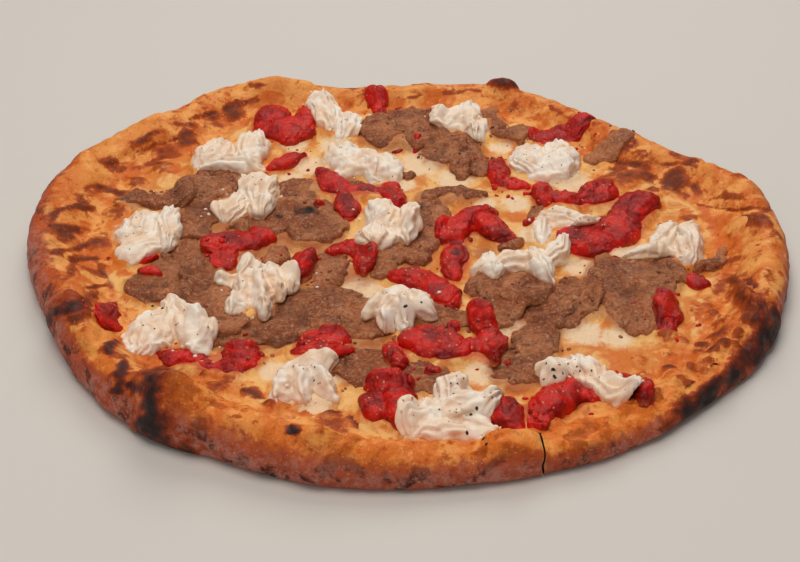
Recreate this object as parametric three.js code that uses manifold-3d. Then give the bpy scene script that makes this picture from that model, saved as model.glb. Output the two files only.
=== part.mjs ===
// A hand-stretched pizza with a puffed rim, melted cheese, slices of meatball,
// pieces of roasted tomato and dollops of ricotta. Millimetres, +Z up.
// +X is to the right and +Y to the back of the pizza, seen from its front edge.

import * as THREE from "three";
import { mergeVertices } from "three/addons/utils/BufferGeometryUtils.js";
import Module from "manifold-3d";

const wasm = await Module();
wasm.setup();

// ---------------------------------------------------------------- driving sizes

const DOUGH_THICKNESS = 5; // the flat dough under the cheese
const CHEESE_TOP = 8; // height of the melted cheese above the base
const GAP = 0.3; // between pieces that lie on one another
const GROWTH = 0.8; // how much wider a piece is cut out of what lies on it

// The rim, walked round from +X through +Y in even steps.
const RIM_REACH = [
  195, 193, 173, 166, 173, 177, 167, 176, 195, 193, 202, 201,
  193, 183, 182, 182, 177, 178, 177, 177, 182, 184, 191, 193,
];
const RIM_HEIGHT = [22, 18, 17, 16, 20, 21, 21, 23, 26, 19, 14, 19];
const RIM_WIDTH = [34, 32, 28, 24, 32, 36, 35, 32, 34, 21, 26, 30];
const RIM_UNDERCUT = 5; // how far the base stands inside the widest place
const RIM_SHOULDER = 12; // from the widest place in to the crest
const RIM_BELLY = 0.4; // height of the widest place, as a share of the rim's

// Bubbles blown up in the rim by the oven: place, radius and rise.
const BUBBLES = [
  { at: [-106, -134], radius: 21, rise: 7 },
  { at: [-162, -64], radius: 16, rise: 5 },
  { at: [-34, -153], radius: 18, rise: 4 },
  { at: [46, -163], radius: 15, rise: 5 },
  { at: [168, -68], radius: 17, rise: 4 },
  { at: [61, 160], radius: 10, rise: 5 },
  { at: [-70, 166], radius: 20, rise: 4 },
];

// The cut that shows at the front: one straight stroke through the rim.
const CUT = { from: [61, -190], to: [54, -126], width: 1.4 };

// ------------------------------------------------------------------- toppings
// Each piece is a few lobes that run into each other. A lobe gives its middle
// (x, y), its length, its width, the turn of its length from +X in degrees,
// and how high it stands above what it lies on. A later piece lies on the
// earlier ones. The middles are where the lobes show, from the viewpoint EYE,
// against a plane SEEN_PLANE above the base.

const EYE = [-2, -750, 514];
const SEEN_PLANE = 10;
const SIGHT_START = 45; // above everything that a piece can lie on
const SIGHT_STEP = 0.5;
const SEEN_SHARE = 0.3; // of a lobe's height, where its middle shows

const MEATBALL = [
  [[113, -46, 62, 40, 84, 6], [126, -30, 40, 28, 80, 6], [102, -36, 50, 24, 90, 6]],
  [[74, -57, 38, 34, 10, 6], [85, -44, 26, 24, 60, 5.5]],
  [[52, -42, 42, 30, -20, 6.5], [45, -58, 30, 24, 70, 5], [62, -34, 24, 16, -30, 5.5]],
  [[61, -85, 32, 24, 80, 6], [54, -103, 34, 30, 20, 5.5]],
  [[-40, -54, 52, 38, 0, 7], [-20, -64, 34, 30, -30, 6], [-62, -68, 34, 28, 10, 6], [-80, -76, 34, 20, 5, 5]],
  [[-121, -32, 40, 26, -30, 5.5], [-113, -12, 36, 28, 20, 5], [-110, 4, 24, 16, 0, 4.5]],
  [[-98, -44, 40, 30, -65, 6], [-90, -62, 32, 24, -40, 5.5], [-100, -26, 26, 22, 0, 5]],
  [[-103, 64, 40, 32, 40, 6], [-95, 76, 30, 20, 20, 5], [-107, 32, 46, 24, 88, 5]],
  [[-138, 50, 32, 14, 0, 4], [-122, 51, 22, 16, 20, 4]],
  [[-57, 54, 30, 26, 90, 5], [-56, 34, 40, 26, -10, 7], [-44, 20, 32, 30, 60, 6], [-74, 22, 36, 16, -5, 5]],
  [[-10, 118, 36, 26, 80, 6], [8, 130, 38, 28, 10, 6], [14, 112, 28, 24, 60, 6]],
  [[30, 97, 38, 32, 60, 6], [22, 92, 30, 20, 100, 6], [41, 80, 26, 18, 110, 5]],
  [[65, 111, 26, 16, 10, 5], [54, 124, 34, 12, 97, 4.5]],
  [[116, 93, 30, 18, 50, 5]],
  [[15, 30, 44, 18, 95, 5.5], [26, 49, 38, 15, 0, 5], [10, 8, 26, 16, 105, 5], [-2, -8, 34, 22, 0, 5.5]],
  [[10, -62, 34, 20, -10, 6], [24, -66, 24, 18, 0, 5]],
  [[-20, -97, 40, 24, -5, 6], [6, -109, 24, 22, 0, 5.5], [-12, -106, 38, 18, -10, 5]],
  [[-41, -20, 34, 24, 65, 5]],
];

const TOMATO = [
  [[-66, 122, 38, 28, 0, 8], [-75, 135, 24, 20, 60, 8], [-54, 133, 24, 16, 80, 8]],
  [[-13, 147, 24, 11, 110, 6]],
  [[-63, 87, 28, 11, 35, 6]],
  [[-38, 62, 34, 16, 115, 8], [-30, 39, 28, 15, 100, 8], [-20, 54, 26, 12, 5, 5], [-5, 50, 26, 13, 105, 7]],
  [[-92, 5, 26, 20, 20, 8], [-79, 6, 26, 17, 20, 7], [-91, -8, 24, 15, 95, 6]],
  [[-52, -12, 28, 15, 85, 8]],
  [[-31, -1, 24, 13, 30, 6], [-21, -8, 30, 13, 95, 7]],
  [[27, 13, 30, 18, 50, 8], [37, 24, 28, 14, 45, 9], [47, 12, 32, 16, -50, 9], [26, -12, 38, 14, 80, 6]],
  [[3, -28, 24, 16, -20, 7], [15, -39, 36, 18, 125, 8]],
  [[36, -66, 30, 14, 100, 8], [40, -87, 34, 13, 95, 8], [12, -81, 32, 22, -10, 8], [27, -89, 32, 14, 10, 7]],
  [[-5, -89, 26, 13, 110, 6]],
  [[-4, -130, 30, 16, 100, 9], [-15, -129, 20, 15, 90, 8], [-9, -115, 24, 15, -10, 7]],
  [[-40, -78, 27, 20, 0, 8], [-43, -87, 24, 14, 0, 6]],
  [[-108, -89, 24, 14, -15, 6], [-97, -93, 24, 12, -35, 5], [-79, -92, 26, 21, 10, 5]],
  [[-144, -53, 28, 11, 95, 8], [-143, -62, 16, 14, 0, 7]],
  [[45, -137, 28, 18, 110, 9]],
  [[62, -135, 36, 17, 75, 9], [72, -121, 28, 17, 95, 8], [80, -125, 20, 12, 0, 6]],
  [[99, -113, 22, 13, -40, 7], [105, -123, 27, 13, 95, 8]],
  [[127, -60, 34, 15, 83, 6]],
  [[87, 110, 28, 16, 0, 7], [101, 117, 28, 16, 60, 8]],
  [[53, 71, 30, 13, 92, 7], [60, 58, 22, 12, -20, 5]],
  [[75, 46, 26, 14, 85, 7], [88, 42, 28, 15, -20, 6], [105, 46, 24, 20, 60, 7]],
  [[122, 31, 38, 22, 50, 10], [112, 13, 32, 26, 50, 8], [94, -2, 32, 25, 0, 9], [93, 8, 32, 12, 18, 10]],
];

const RICOTTA = [
  [[-103, 98, 34, 26, 70, 9], [-84, 100, 38, 20, 85, 11], [-94, 86, 38, 18, 0, 7]],
  [[-42, 136, 40, 21, 105, 10], [-31, 126, 30, 20, 90, 9], [-48, 148, 18, 14, 60, 7]],
  [[31, 132, 28, 22, 20, 8], [40, 133, 36, 15, 95, 10], [43, 117, 24, 13, 90, 9]],
  [[-137, 24, 34, 23, 80, 9], [-122, 20, 44, 14, 92, 11], [-136, 3, 26, 19, 30, 8]],
  [[-78, 60, 36, 22, 95, 12], [-90, 44, 30, 19, 70, 9], [-75, 44, 28, 19, 90, 9]],
  [[-30, 87, 40, 24, 105, 10], [-18, 80, 36, 21, 115, 11], [-7, 79, 30, 14, 105, 9]],
  [[-10, 29, 32, 22, 110, 12], [-13, 10, 28, 22, 80, 9], [3, 21, 40, 13, 85, 13]],
  [[72, 82, 34, 24, 90, 10], [88, 82, 36, 24, 95, 11], [80, 71, 36, 16, 0, 7]],
  [[84, 26, 30, 18, -30, 9], [94, 19, 19, 14, 20, 8], [73, 17, 30, 12, 80, 7]],
  [[43, -19, 30, 14, 100, 9], [56, -16, 30, 15, 15, 11], [68, -21, 32, 14, 108, 12], [76, -9, 28, 13, 60, 10]],
  [[126, -7, 32, 16, 10, 7], [134, 2, 36, 17, 65, 10], [146, -3, 38, 14, 80, 12]],
  [
    [-79, -26, 42, 10, 86, 13], [-71, -38, 56, 11, 96, 14], [-64, -32, 38, 10, 104, 13],
    [-58, -29, 28, 10, 105, 9], [-87, -27, 18, 11, 30, 7], [-82, -46, 24, 11, 80, 8],
  ],
  [[-123, -68, 40, 23, 75, 9], [-114, -57, 26, 18, 100, 9], [-104, -67, 32, 17, -60, 11], [-98, -77, 26, 14, 80, 9]],
  [
    [-12, -48, 26, 9, 56, 10], [-7, -53, 30, 9, 76, 11], [-1, -54, 30, 10, 98, 12],
    [6, -49, 26, 11, 128, 11], [-4, -42, 18, 15, 0, 12],
  ],
  [[-56, -110, 36, 12, 80, 10], [-49, -108, 30, 11, 105, 12], [-40, -111, 30, 11, 123, 11], [-45, -98, 24, 15, -10, 10]],
  [
    [21, -121, 28, 17, 80, 12], [8, -137, 30, 21, 60, 9], [26, -133, 32, 21, 10, 12],
    [31, -148, 28, 14, 130, 9], [16, -147, 26, 15, 0, 8],
  ],
  [[70, -103, 24, 12, 25, 8], [67, -111, 18, 12, 80, 8], [84, -106, 32, 15, 110, 10], [93, -121, 26, 15, 130, 9]],
];

// Scraps too small for a piece of their own, baked into the cheese.
const SCRAPS = [
  [145, -38, 14, 9, 95, 3],
  [83, -93, 12, 6, 70, 3],
  [158, -18, 22, 9, 60, 3],
  [8, 100, 12, 7, 90, 3],
];

// How round a lobe's top is (1 is a ball, less is flatter), and its facets.
const MEATBALL_FORM = { roundness: 0.35, sides: 9, waviness: 0.1 };
const TOMATO_FORM = { roundness: 0.8, sides: 7, waviness: 0.07 };
const RICOTTA_FORM = { roundness: 0.9, sides: 7, waviness: 0.06 };
const FOOT_DEPTH = 6; // how far a lobe first reaches below what it lies on

// ------------------------------------------------------------------ rim shape

const TURN = 2 * Math.PI;

// A smooth closed curve through evenly spaced values, read at an angle.
function around(values, angle) {
  const n = values.length;
  const place = (((angle / TURN) % 1) + 1) % 1 * n;
  const k = Math.floor(place);
  const t = place - k;
  const [a, b, c, d] = [-1, 0, 1, 2].map((step) => values[(k + step + n) % n]);
  return b + 0.5 * t * (c - a + t * (2 * a - 5 * b + 4 * c - d + t * (3 * (b - c) + d - a)));
}

// The blown-up dome of the bubbles over a place.
function bubbleRise(x, y) {
  let rise = 0;
  for (const bubble of BUBBLES) {
    const away = Math.hypot(x - bubble.at[0], y - bubble.at[1]) / bubble.radius;
    rise = Math.max(rise, bubble.rise * Math.sqrt(Math.max(0, 1 - away * away)));
  }
  return rise;
}

// Height of the rim's inner slope, as a share of the crest, from crest (0) to foot (1).
function innerSlope(share) {
  return (1 - share ** 1.7) ** 1.4;
}

// Height of the bare crust's top over a place on the pizza.
function crustTop(x, y) {
  const angle = Math.atan2(y, x);
  const inward = around(RIM_REACH, angle) - Math.hypot(x, y);
  const height = around(RIM_HEIGHT, angle);
  const belly = RIM_BELLY * height;
  if (inward < 0) return 0;
  const rise = bubbleRise(x, y);
  if (inward < RIM_SHOULDER) {
    const lean = 1 - inward / RIM_SHOULDER;
    return belly + (height - belly) * Math.sqrt(1 - lean * lean) + rise;
  }
  const share = (inward - RIM_SHOULDER) / (around(RIM_WIDTH, angle) - RIM_SHOULDER);
  if (share >= 1) return DOUGH_THICKNESS;
  return DOUGH_THICKNESS + (height - DOUGH_THICKNESS) * innerSlope(share) + rise * (1 - share);
}

// --------------------------------------------------------------- mesh helpers

function toSolid(geometry) {
  geometry.deleteAttribute("normal");
  geometry.deleteAttribute("uv");
  const merged = mergeVertices(geometry, 1e-4);
  return new wasm.Manifold(
    new wasm.Mesh({
      numProp: 3,
      vertProperties: new Float32Array(merged.attributes.position.array),
      triVerts: new Uint32Array(merged.index.array),
    }),
  );
}

function toGeometry(solid) {
  const mesh = solid.getMesh();
  const geometry = new THREE.BufferGeometry();
  geometry.setAttribute("position", new THREE.BufferAttribute(new Float32Array(mesh.vertProperties), 3));
  geometry.setIndex([...mesh.triVerts]);
  geometry.computeVertexNormals();
  return geometry;
}

// A turned solid whose points are then set one by one: place(angle, ring).
function turned(rings, segments, place) {
  const profile = Array.from({ length: rings }, (_, ring) => {
    const onAxis = ring === 0 || ring === rings - 1;
    return new THREE.Vector2(onAxis ? 0 : 1, ring);
  });
  const geometry = new THREE.LatheGeometry(profile, segments);
  const position = geometry.attributes.position;
  for (let i = 0; i < position.count; i += 1) {
    const segment = Math.floor(i / rings) % segments;
    const [x, y, z] = place((segment / segments) * TURN, i % rings);
    position.setXYZ(i, x, y, z);
  }
  return toSolid(geometry);
}

// ---------------------------------------------------------------------- crust

const CRUST_SEGMENTS = 96;
const WALL_STEPS = 2; // rings from the base to the widest place
const SHOULDER_STEPS = 4; // rings from the widest place to the crest
const SLOPE_STEPS = 4; // rings from the crest down to the foot

// One point of the rim's section: how far in from the reach, and how high.
function rimSection(angle, ring) {
  const height = around(RIM_HEIGHT, angle);
  const belly = RIM_BELLY * height;
  if (ring <= WALL_STEPS) {
    const turn = (Math.PI / 2) * (1 - ring / WALL_STEPS);
    return [RIM_UNDERCUT * (1 - Math.cos(turn)), belly * (1 - Math.sin(turn))];
  }
  if (ring <= WALL_STEPS + SHOULDER_STEPS) {
    const turn = (Math.PI / 2) * ((ring - WALL_STEPS) / SHOULDER_STEPS);
    return [RIM_SHOULDER * (1 - Math.cos(turn)), belly + (height - belly) * Math.sin(turn)];
  }
  const share = (ring - WALL_STEPS - SHOULDER_STEPS) / SLOPE_STEPS;
  const inward = RIM_SHOULDER + share * (around(RIM_WIDTH, angle) - RIM_SHOULDER);
  return [inward, DOUGH_THICKNESS + (height - DOUGH_THICKNESS) * innerSlope(share)];
}

function crustPoint(angle, ring) {
  const lastRing = WALL_STEPS + SHOULDER_STEPS + SLOPE_STEPS + 2;
  if (ring === 0) return [0, 0, 0];
  if (ring === lastRing) return [0, 0, DOUGH_THICKNESS];
  const [inward, height] = rimSection(angle, ring - 1);
  const radius = around(RIM_REACH, angle) - inward;
  const [x, y] = [radius * Math.cos(angle), radius * Math.sin(angle)];
  // A bubble swells the rim upwards and, on its outer side, outwards.
  const share = Math.max(0, (ring - 1 - WALL_STEPS - SHOULDER_STEPS) / SLOPE_STEPS);
  const rise = bubbleRise(x, y) * (1 - share);
  const upward = Math.min(1, height / around(RIM_HEIGHT, angle));
  const swell = 1 + (0.35 * rise * (1 - share) * (1 - upward * upward)) / radius;
  return [x * swell, y * swell, height + rise * upward];
}

function cutBlade() {
  const [from, to] = [new THREE.Vector2(...CUT.from), new THREE.Vector2(...CUT.to)];
  const along = to.clone().sub(from);
  const blade = new THREE.BoxGeometry(along.length(), CUT.width, 100);
  blade.rotateZ(along.angle());
  blade.translate((from.x + to.x) / 2, (from.y + to.y) / 2, 0);
  return toSolid(blade);
}

function makeCrust() {
  const rings = WALL_STEPS + SHOULDER_STEPS + SLOPE_STEPS + 3;
  return turned(rings, CRUST_SEGMENTS, crustPoint);
}

// --------------------------------------------------------------------- cheese

const CHEESE_SEGMENTS = 60;

// A flat pool that fills the crust and reaches into the rim's slope all round.
function makePool() {
  const heights = [DOUGH_THICKNESS - 1, DOUGH_THICKNESS - 1, CHEESE_TOP, CHEESE_TOP];
  const pool = turned(heights.length, CHEESE_SEGMENTS, (angle, ring) => {
    const onAxis = ring === 0 || ring === heights.length - 1;
    const radius = onAxis ? 0 : around(RIM_REACH, angle) - RIM_SHOULDER;
    return [radius * Math.cos(angle), radius * Math.sin(angle), heights[ring]];
  });
  const scraps = SCRAPS.map((scrap) => makeLobe(scrap, TOMATO_FORM, ground, 0));
  return scraps.reduce((whole, scrap) => whole.add(scrap), pool);
}

// What the toppings lie on: the cheese, or the rim where it stands higher.
function ground(x, y) {
  return Math.max(CHEESE_TOP, crustTop(x, y));
}

// ------------------------------------------------------------------- toppings

// Height of one lobe over a place, above what it lies on.
function lobeHeight([middleX, middleY, length, width, turn, height], form, x, y) {
  const angle = THREE.MathUtils.degToRad(turn);
  const [dx, dy] = [x - middleX, y - middleY];
  const along = (dx * Math.cos(angle) + dy * Math.sin(angle)) / (length / 2);
  const across = (dy * Math.cos(angle) - dx * Math.sin(angle)) / (width / 2);
  const dome = Math.sqrt(Math.max(0, 1 - along * along - across * across));
  return height * dome ** form.roundness;
}

// One lobe as a solid: a dome on a pointed foot, draped over the support. Its
// outline is as large as the ellipse, though it has few sides.
function makeLobe(lobe, form, support, growth) {
  const [middleX, middleY, length, width, turn, height] = lobe;
  const heading = THREE.MathUtils.degToRad(turn);
  const corner = TURN / form.sides;
  const facetGrowth = Math.sqrt(corner / Math.sin(corner));
  const top = height + growth / 2;
  const rings = [
    { reach: 0, rise: -FOOT_DEPTH },
    { reach: 1, rise: 0 },
    { reach: Math.SQRT1_2, rise: top * Math.SQRT1_2 ** form.roundness },
    { reach: 0, rise: top },
  ];
  return turned(rings.length, form.sides, (angle, ring) => {
    const bend = form.waviness * Math.sin(3 * angle + middleX + 2 * middleY);
    const reach = rings[ring].reach * (1 + bend) * facetGrowth;
    const along = ((length + growth) / 2) * reach * Math.cos(angle);
    const across = ((width + growth) / 2) * reach * Math.sin(angle);
    const x = middleX + along * Math.cos(heading) - across * Math.sin(heading);
    const y = middleY + along * Math.sin(heading) + across * Math.cos(heading);
    return [x, y, support(x, y) + rings[ring].rise];
  });
}

// A place of the plane SEEN_PLANE, moved along its line of sight to a height.
function alongSight(x, y, z) {
  const share = (EYE[2] - z) / (EYE[2] - SEEN_PLANE);
  return [EYE[0] + (x - EYE[0]) * share, EYE[1] + (y - EYE[1]) * share];
}

// How far a lobe lies from where it shows, as it lies higher than the plane.
function sightMove([x, y, , , , height], support) {
  let z = SIGHT_START;
  let place = alongSight(x, y, z);
  while (z > CHEESE_TOP && z > support(...place) + SEEN_SHARE * height) {
    z -= SIGHT_STEP;
    place = alongSight(x, y, z);
  }
  return [place[0] - x, place[1] - y];
}

// A piece moved as a whole from where it shows to where it lies.
function seated(lobes, support) {
  const moves = lobes.map((lobe) => sightMove(lobe, support));
  const [moveX, moveY] = [0, 1].map(
    (axis) => moves.reduce((sum, move) => sum + move[axis], 0) / moves.length,
  );
  return lobes.map(([x, y, ...sizes]) => [x + moveX, y + moveY, ...sizes]);
}

function fuse(lobes, form, support, growth) {
  const solids = lobes.map((lobe) => makeLobe(lobe, form, support, growth));
  return solids.reduce((whole, solid) => whole.add(solid));
}

function largest(solid) {
  const pieces = solid.decompose();
  return pieces.sort((one, other) => other.volume() - one.volume())[0];
}

function boxesMeet(one, other) {
  const [a, b] = [one.boundingBox(), other.boundingBox()];
  return [0, 1, 2].every((axis) => a.min[axis] < b.max[axis] && b.min[axis] < a.max[axis]);
}

// The toppings in the order they were laid, each resting on those before it.
function makeToppings(bed) {
  const kinds = [
    { name: "meatball", lists: MEATBALL, form: MEATBALL_FORM },
    { name: "tomato", lists: TOMATO, form: TOMATO_FORM },
    { name: "ricotta", lists: RICOTTA, form: RICOTTA_FORM },
  ];
  const laid = [];
  for (const { name, lists, form } of kinds) {
    lists.forEach((shown, index) => {
      const below = [...laid];
      const support = (x, y) =>
        below.reduce((height, piece) => height + piece.heightAt(x, y), ground(x, y));
      const lobes = seated(shown, support);
      let solid = fuse(lobes, form, support, 0).subtract(bed);
      for (const piece of below) {
        if (boxesMeet(solid, piece.grown)) solid = solid.subtract(piece.grown);
      }
      laid.push({
        name: `${name}_${index + 1}`,
        kind: name,
        solid: largest(solid),
        grown: fuse(lobes, form, support, GROWTH),
        heightAt: (x, y) => Math.max(...lobes.map((lobe) => lobeHeight(lobe, form, x, y))),
      });
    });
  }
  return laid;
}

// --------------------------------------------------------------------- object

const MATERIALS = {
  crust: { color: 0xc07a3c, roughness: 0.75 },
  melted_cheese: { color: 0xe8c488, roughness: 0.45 },
  meatball: { color: 0x7a5546, roughness: 0.7 },
  tomato: { color: 0xb01c14, roughness: 0.3 },
  ricotta: { color: 0xf2e8dc, roughness: 0.55 },
};

function addPiece(group, name, kind, solid) {
  const material = new THREE.MeshStandardMaterial({ ...MATERIALS[kind], metalness: 0 });
  const mesh = new THREE.Mesh(toGeometry(solid), material);
  mesh.name = name;
  group.add(mesh);
}

const blade = cutBlade();
const dough = makeCrust();
const pool = makePool();
const crust = dough.subtract(blade);
const cheese = largest(pool.subtract(dough.translate([0, 0, GAP])).subtract(blade));
const bed = dough.add(pool).translate([0, 0, GAP]);

const pizza = new THREE.Group();
addPiece(pizza, "crust", "crust", crust);
addPiece(pizza, "melted_cheese", "melted_cheese", cheese);
for (const piece of makeToppings(bed)) addPiece(pizza, piece.name, piece.kind, piece.solid);

// The origin is the middle of the pizza's box, on the face it rests on.
const box = new THREE.Box3().setFromObject(pizza);
pizza.position.set(-(box.min.x + box.max.x) / 2, -(box.min.y + box.max.y) / 2, -box.min.z);

export default pizza;
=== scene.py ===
"""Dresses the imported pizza: fine crust, melted cheese, toppings, herbs and light.

Shapes are worked out in millimetres, in the frame of the part's own source (its
middle is the middle of the rim's circle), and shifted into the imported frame, in
metres, when a mesh is made.
"""

import math

import bpy
import numpy as np
from mathutils import Matrix, Vector
from mathutils.bvhtree import BVHTree


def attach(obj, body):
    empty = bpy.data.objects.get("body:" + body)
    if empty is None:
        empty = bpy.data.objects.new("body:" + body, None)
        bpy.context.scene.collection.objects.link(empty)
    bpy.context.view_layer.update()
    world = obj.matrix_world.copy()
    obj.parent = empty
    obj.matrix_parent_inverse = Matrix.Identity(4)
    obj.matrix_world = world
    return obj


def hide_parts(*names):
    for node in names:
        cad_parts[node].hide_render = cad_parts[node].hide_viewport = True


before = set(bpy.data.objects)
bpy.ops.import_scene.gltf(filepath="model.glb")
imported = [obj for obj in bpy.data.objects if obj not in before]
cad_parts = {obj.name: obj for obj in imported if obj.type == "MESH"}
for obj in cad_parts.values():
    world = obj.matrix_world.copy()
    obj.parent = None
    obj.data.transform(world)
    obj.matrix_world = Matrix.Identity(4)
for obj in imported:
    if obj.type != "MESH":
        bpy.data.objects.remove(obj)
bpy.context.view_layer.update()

TURN = 2 * math.pi

# ---- the part's own sizes
# The same driving sizes as the solids, in millimetres.

DOUGH_THICKNESS = 5
CHEESE_TOP = 8
RIM_REACH = [
    195, 193, 173, 166, 173, 177, 167, 176, 195, 193, 202, 201,
    193, 183, 182, 182, 177, 178, 177, 177, 182, 184, 191, 193,
]  # fmt: skip
RIM_HEIGHT = [22, 18, 17, 16, 20, 21, 21, 23, 26, 19, 14, 19]
RIM_WIDTH = [34, 32, 28, 24, 32, 36, 35, 32, 34, 21, 26, 30]
RIM_UNDERCUT = 5
RIM_SHOULDER = 12
RIM_BELLY = 0.4
BUBBLES = [  # x, y, radius, rise
    (-106, -134, 21, 7), (-162, -64, 16, 5), (-34, -153, 18, 4), (46, -163, 15, 5), (168, -68, 17, 4),
    (61, 160, 10, 5), (-70, 166, 20, 4),
]
CUT_START, CUT_END, CUT_WIDTH = np.array([61.0, -190.0]), np.array([54.0, -126.0]), 0.9

# Each piece is a list of lobes: x, y, length, width, turn in degrees, height. The
# places are where the lobes show, from the eye, against the plane SEEN_PLANE.
MEATBALL = [
    [(113, -46, 62, 40, 84, 6), (126, -30, 40, 28, 80, 6), (102, -36, 50, 24, 90, 6)],
    [(74, -57, 38, 34, 10, 6), (85, -44, 26, 24, 60, 5.5)],
    [(52, -42, 42, 30, -20, 6.5), (45, -58, 30, 24, 70, 5), (62, -34, 24, 16, -30, 5.5)],
    [(61, -85, 32, 24, 80, 6), (54, -103, 34, 30, 20, 5.5)],
    [(-40, -54, 52, 38, 0, 7), (-20, -64, 34, 30, -30, 6), (-62, -68, 34, 28, 10, 6),
     (-80, -76, 34, 20, 5, 5)],
    [(-121, -32, 40, 26, -30, 5.5), (-113, -12, 36, 28, 20, 5), (-110, 4, 24, 16, 0, 4.5)],
    [(-98, -44, 40, 30, -65, 6), (-90, -62, 32, 24, -40, 5.5), (-100, -26, 26, 22, 0, 5)],
    [(-103, 64, 40, 32, 40, 6), (-95, 76, 30, 20, 20, 5), (-107, 32, 46, 24, 88, 5)],
    [(-137, 50, 32, 14, 0, 6), (-122, 51, 24, 17, 20, 6.5)],
    [(-57, 54, 30, 26, 90, 5), (-56, 34, 40, 26, -10, 7), (-44, 20, 32, 30, 60, 6),
     (-74, 22, 36, 16, -5, 5)],
    [(-10, 118, 36, 26, 80, 6), (8, 130, 38, 28, 10, 6), (14, 112, 28, 24, 60, 6)],
    [(30, 97, 38, 32, 60, 6), (22, 92, 30, 20, 100, 6), (41, 80, 26, 18, 110, 5)],
    [(65, 111, 26, 16, 10, 5), (54, 124, 34, 12, 97, 4.5)],
    [(117, 95, 34, 12, 33, 3.5)],
    [(15, 30, 44, 18, 95, 5.5), (26, 49, 38, 15, 0, 5), (10, 8, 26, 16, 105, 5),
     (-2, -8, 34, 22, 0, 5.5)],
    [(10, -62, 34, 20, -10, 6), (24, -66, 24, 18, 0, 5)],
    [(-20, -97, 40, 24, -5, 6), (6, -109, 24, 22, 0, 5.5), (-12, -106, 38, 18, -10, 5)],
    [(-41, -20, 34, 24, 65, 5)],
]
TOMATO = [
    [(-66, 122, 38, 28, 0, 8), (-75, 135, 24, 20, 60, 8), (-54, 133, 24, 16, 80, 8)],
    [(-13, 147, 24, 11, 110, 6)],
    [(-63, 87, 28, 11, 35, 6)],
    [(-38, 62, 34, 16, 115, 8), (-30, 39, 28, 15, 100, 8), (-20, 54, 26, 12, 5, 5),
     (-5, 50, 26, 13, 105, 7)],
    [(-92, 5, 26, 20, 20, 8), (-79, 6, 26, 17, 20, 7), (-91, -8, 24, 15, 95, 6)],
    [(-52, -12, 28, 15, 85, 8)],
    [(-31, -1, 24, 13, 30, 6), (-21, -8, 30, 13, 95, 7)],
    [(27, 13, 30, 18, 50, 8), (37, 24, 28, 14, 45, 9), (47, 12, 32, 16, -50, 9),
     (26, -12, 38, 14, 80, 6)],
    [(3, -28, 24, 16, -20, 7), (15, -39, 36, 18, 125, 8)],
    [(36, -66, 30, 14, 100, 8), (40, -87, 34, 13, 95, 8), (12, -81, 32, 22, -10, 8),
     (27, -89, 32, 14, 10, 7)],
    [(-5, -89, 26, 13, 110, 6)],
    [(-4, -130, 30, 16, 100, 9), (-15, -129, 20, 15, 90, 8), (-9, -115, 24, 15, -10, 7)],
    [(-40, -81, 27, 16, 0, 6.5), (-43, -87, 24, 13, 0, 5.5)],
    [(-108, -89, 24, 14, -15, 6), (-97, -93, 24, 12, -35, 5), (-79, -92, 26, 21, 10, 5)],
    [(-144, -53, 28, 11, 95, 8), (-143, -62, 16, 14, 0, 7)],
    [(45, -137, 28, 18, 110, 9)],
    [(62, -135, 36, 17, 75, 9), (72, -121, 28, 17, 95, 8), (80, -125, 20, 12, 0, 6)],
    [(99, -113, 22, 13, -40, 7), (105, -123, 27, 13, 95, 8)],
    [(127, -60, 34, 15, 83, 6)],
    [(87, 109, 28, 15, 0, 4.5), (100, 112, 24, 13, 40, 4)],
    [(53, 71, 30, 13, 92, 7), (60, 58, 22, 12, -20, 5)],
    [(75, 46, 26, 14, 85, 7), (88, 42, 28, 15, -20, 6), (105, 46, 24, 20, 60, 7)],
    [(122, 31, 38, 22, 50, 8), (112, 13, 32, 26, 50, 7), (94, -2, 32, 25, 0, 8),
     (93, 8, 32, 12, 18, 9)],
]
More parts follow.
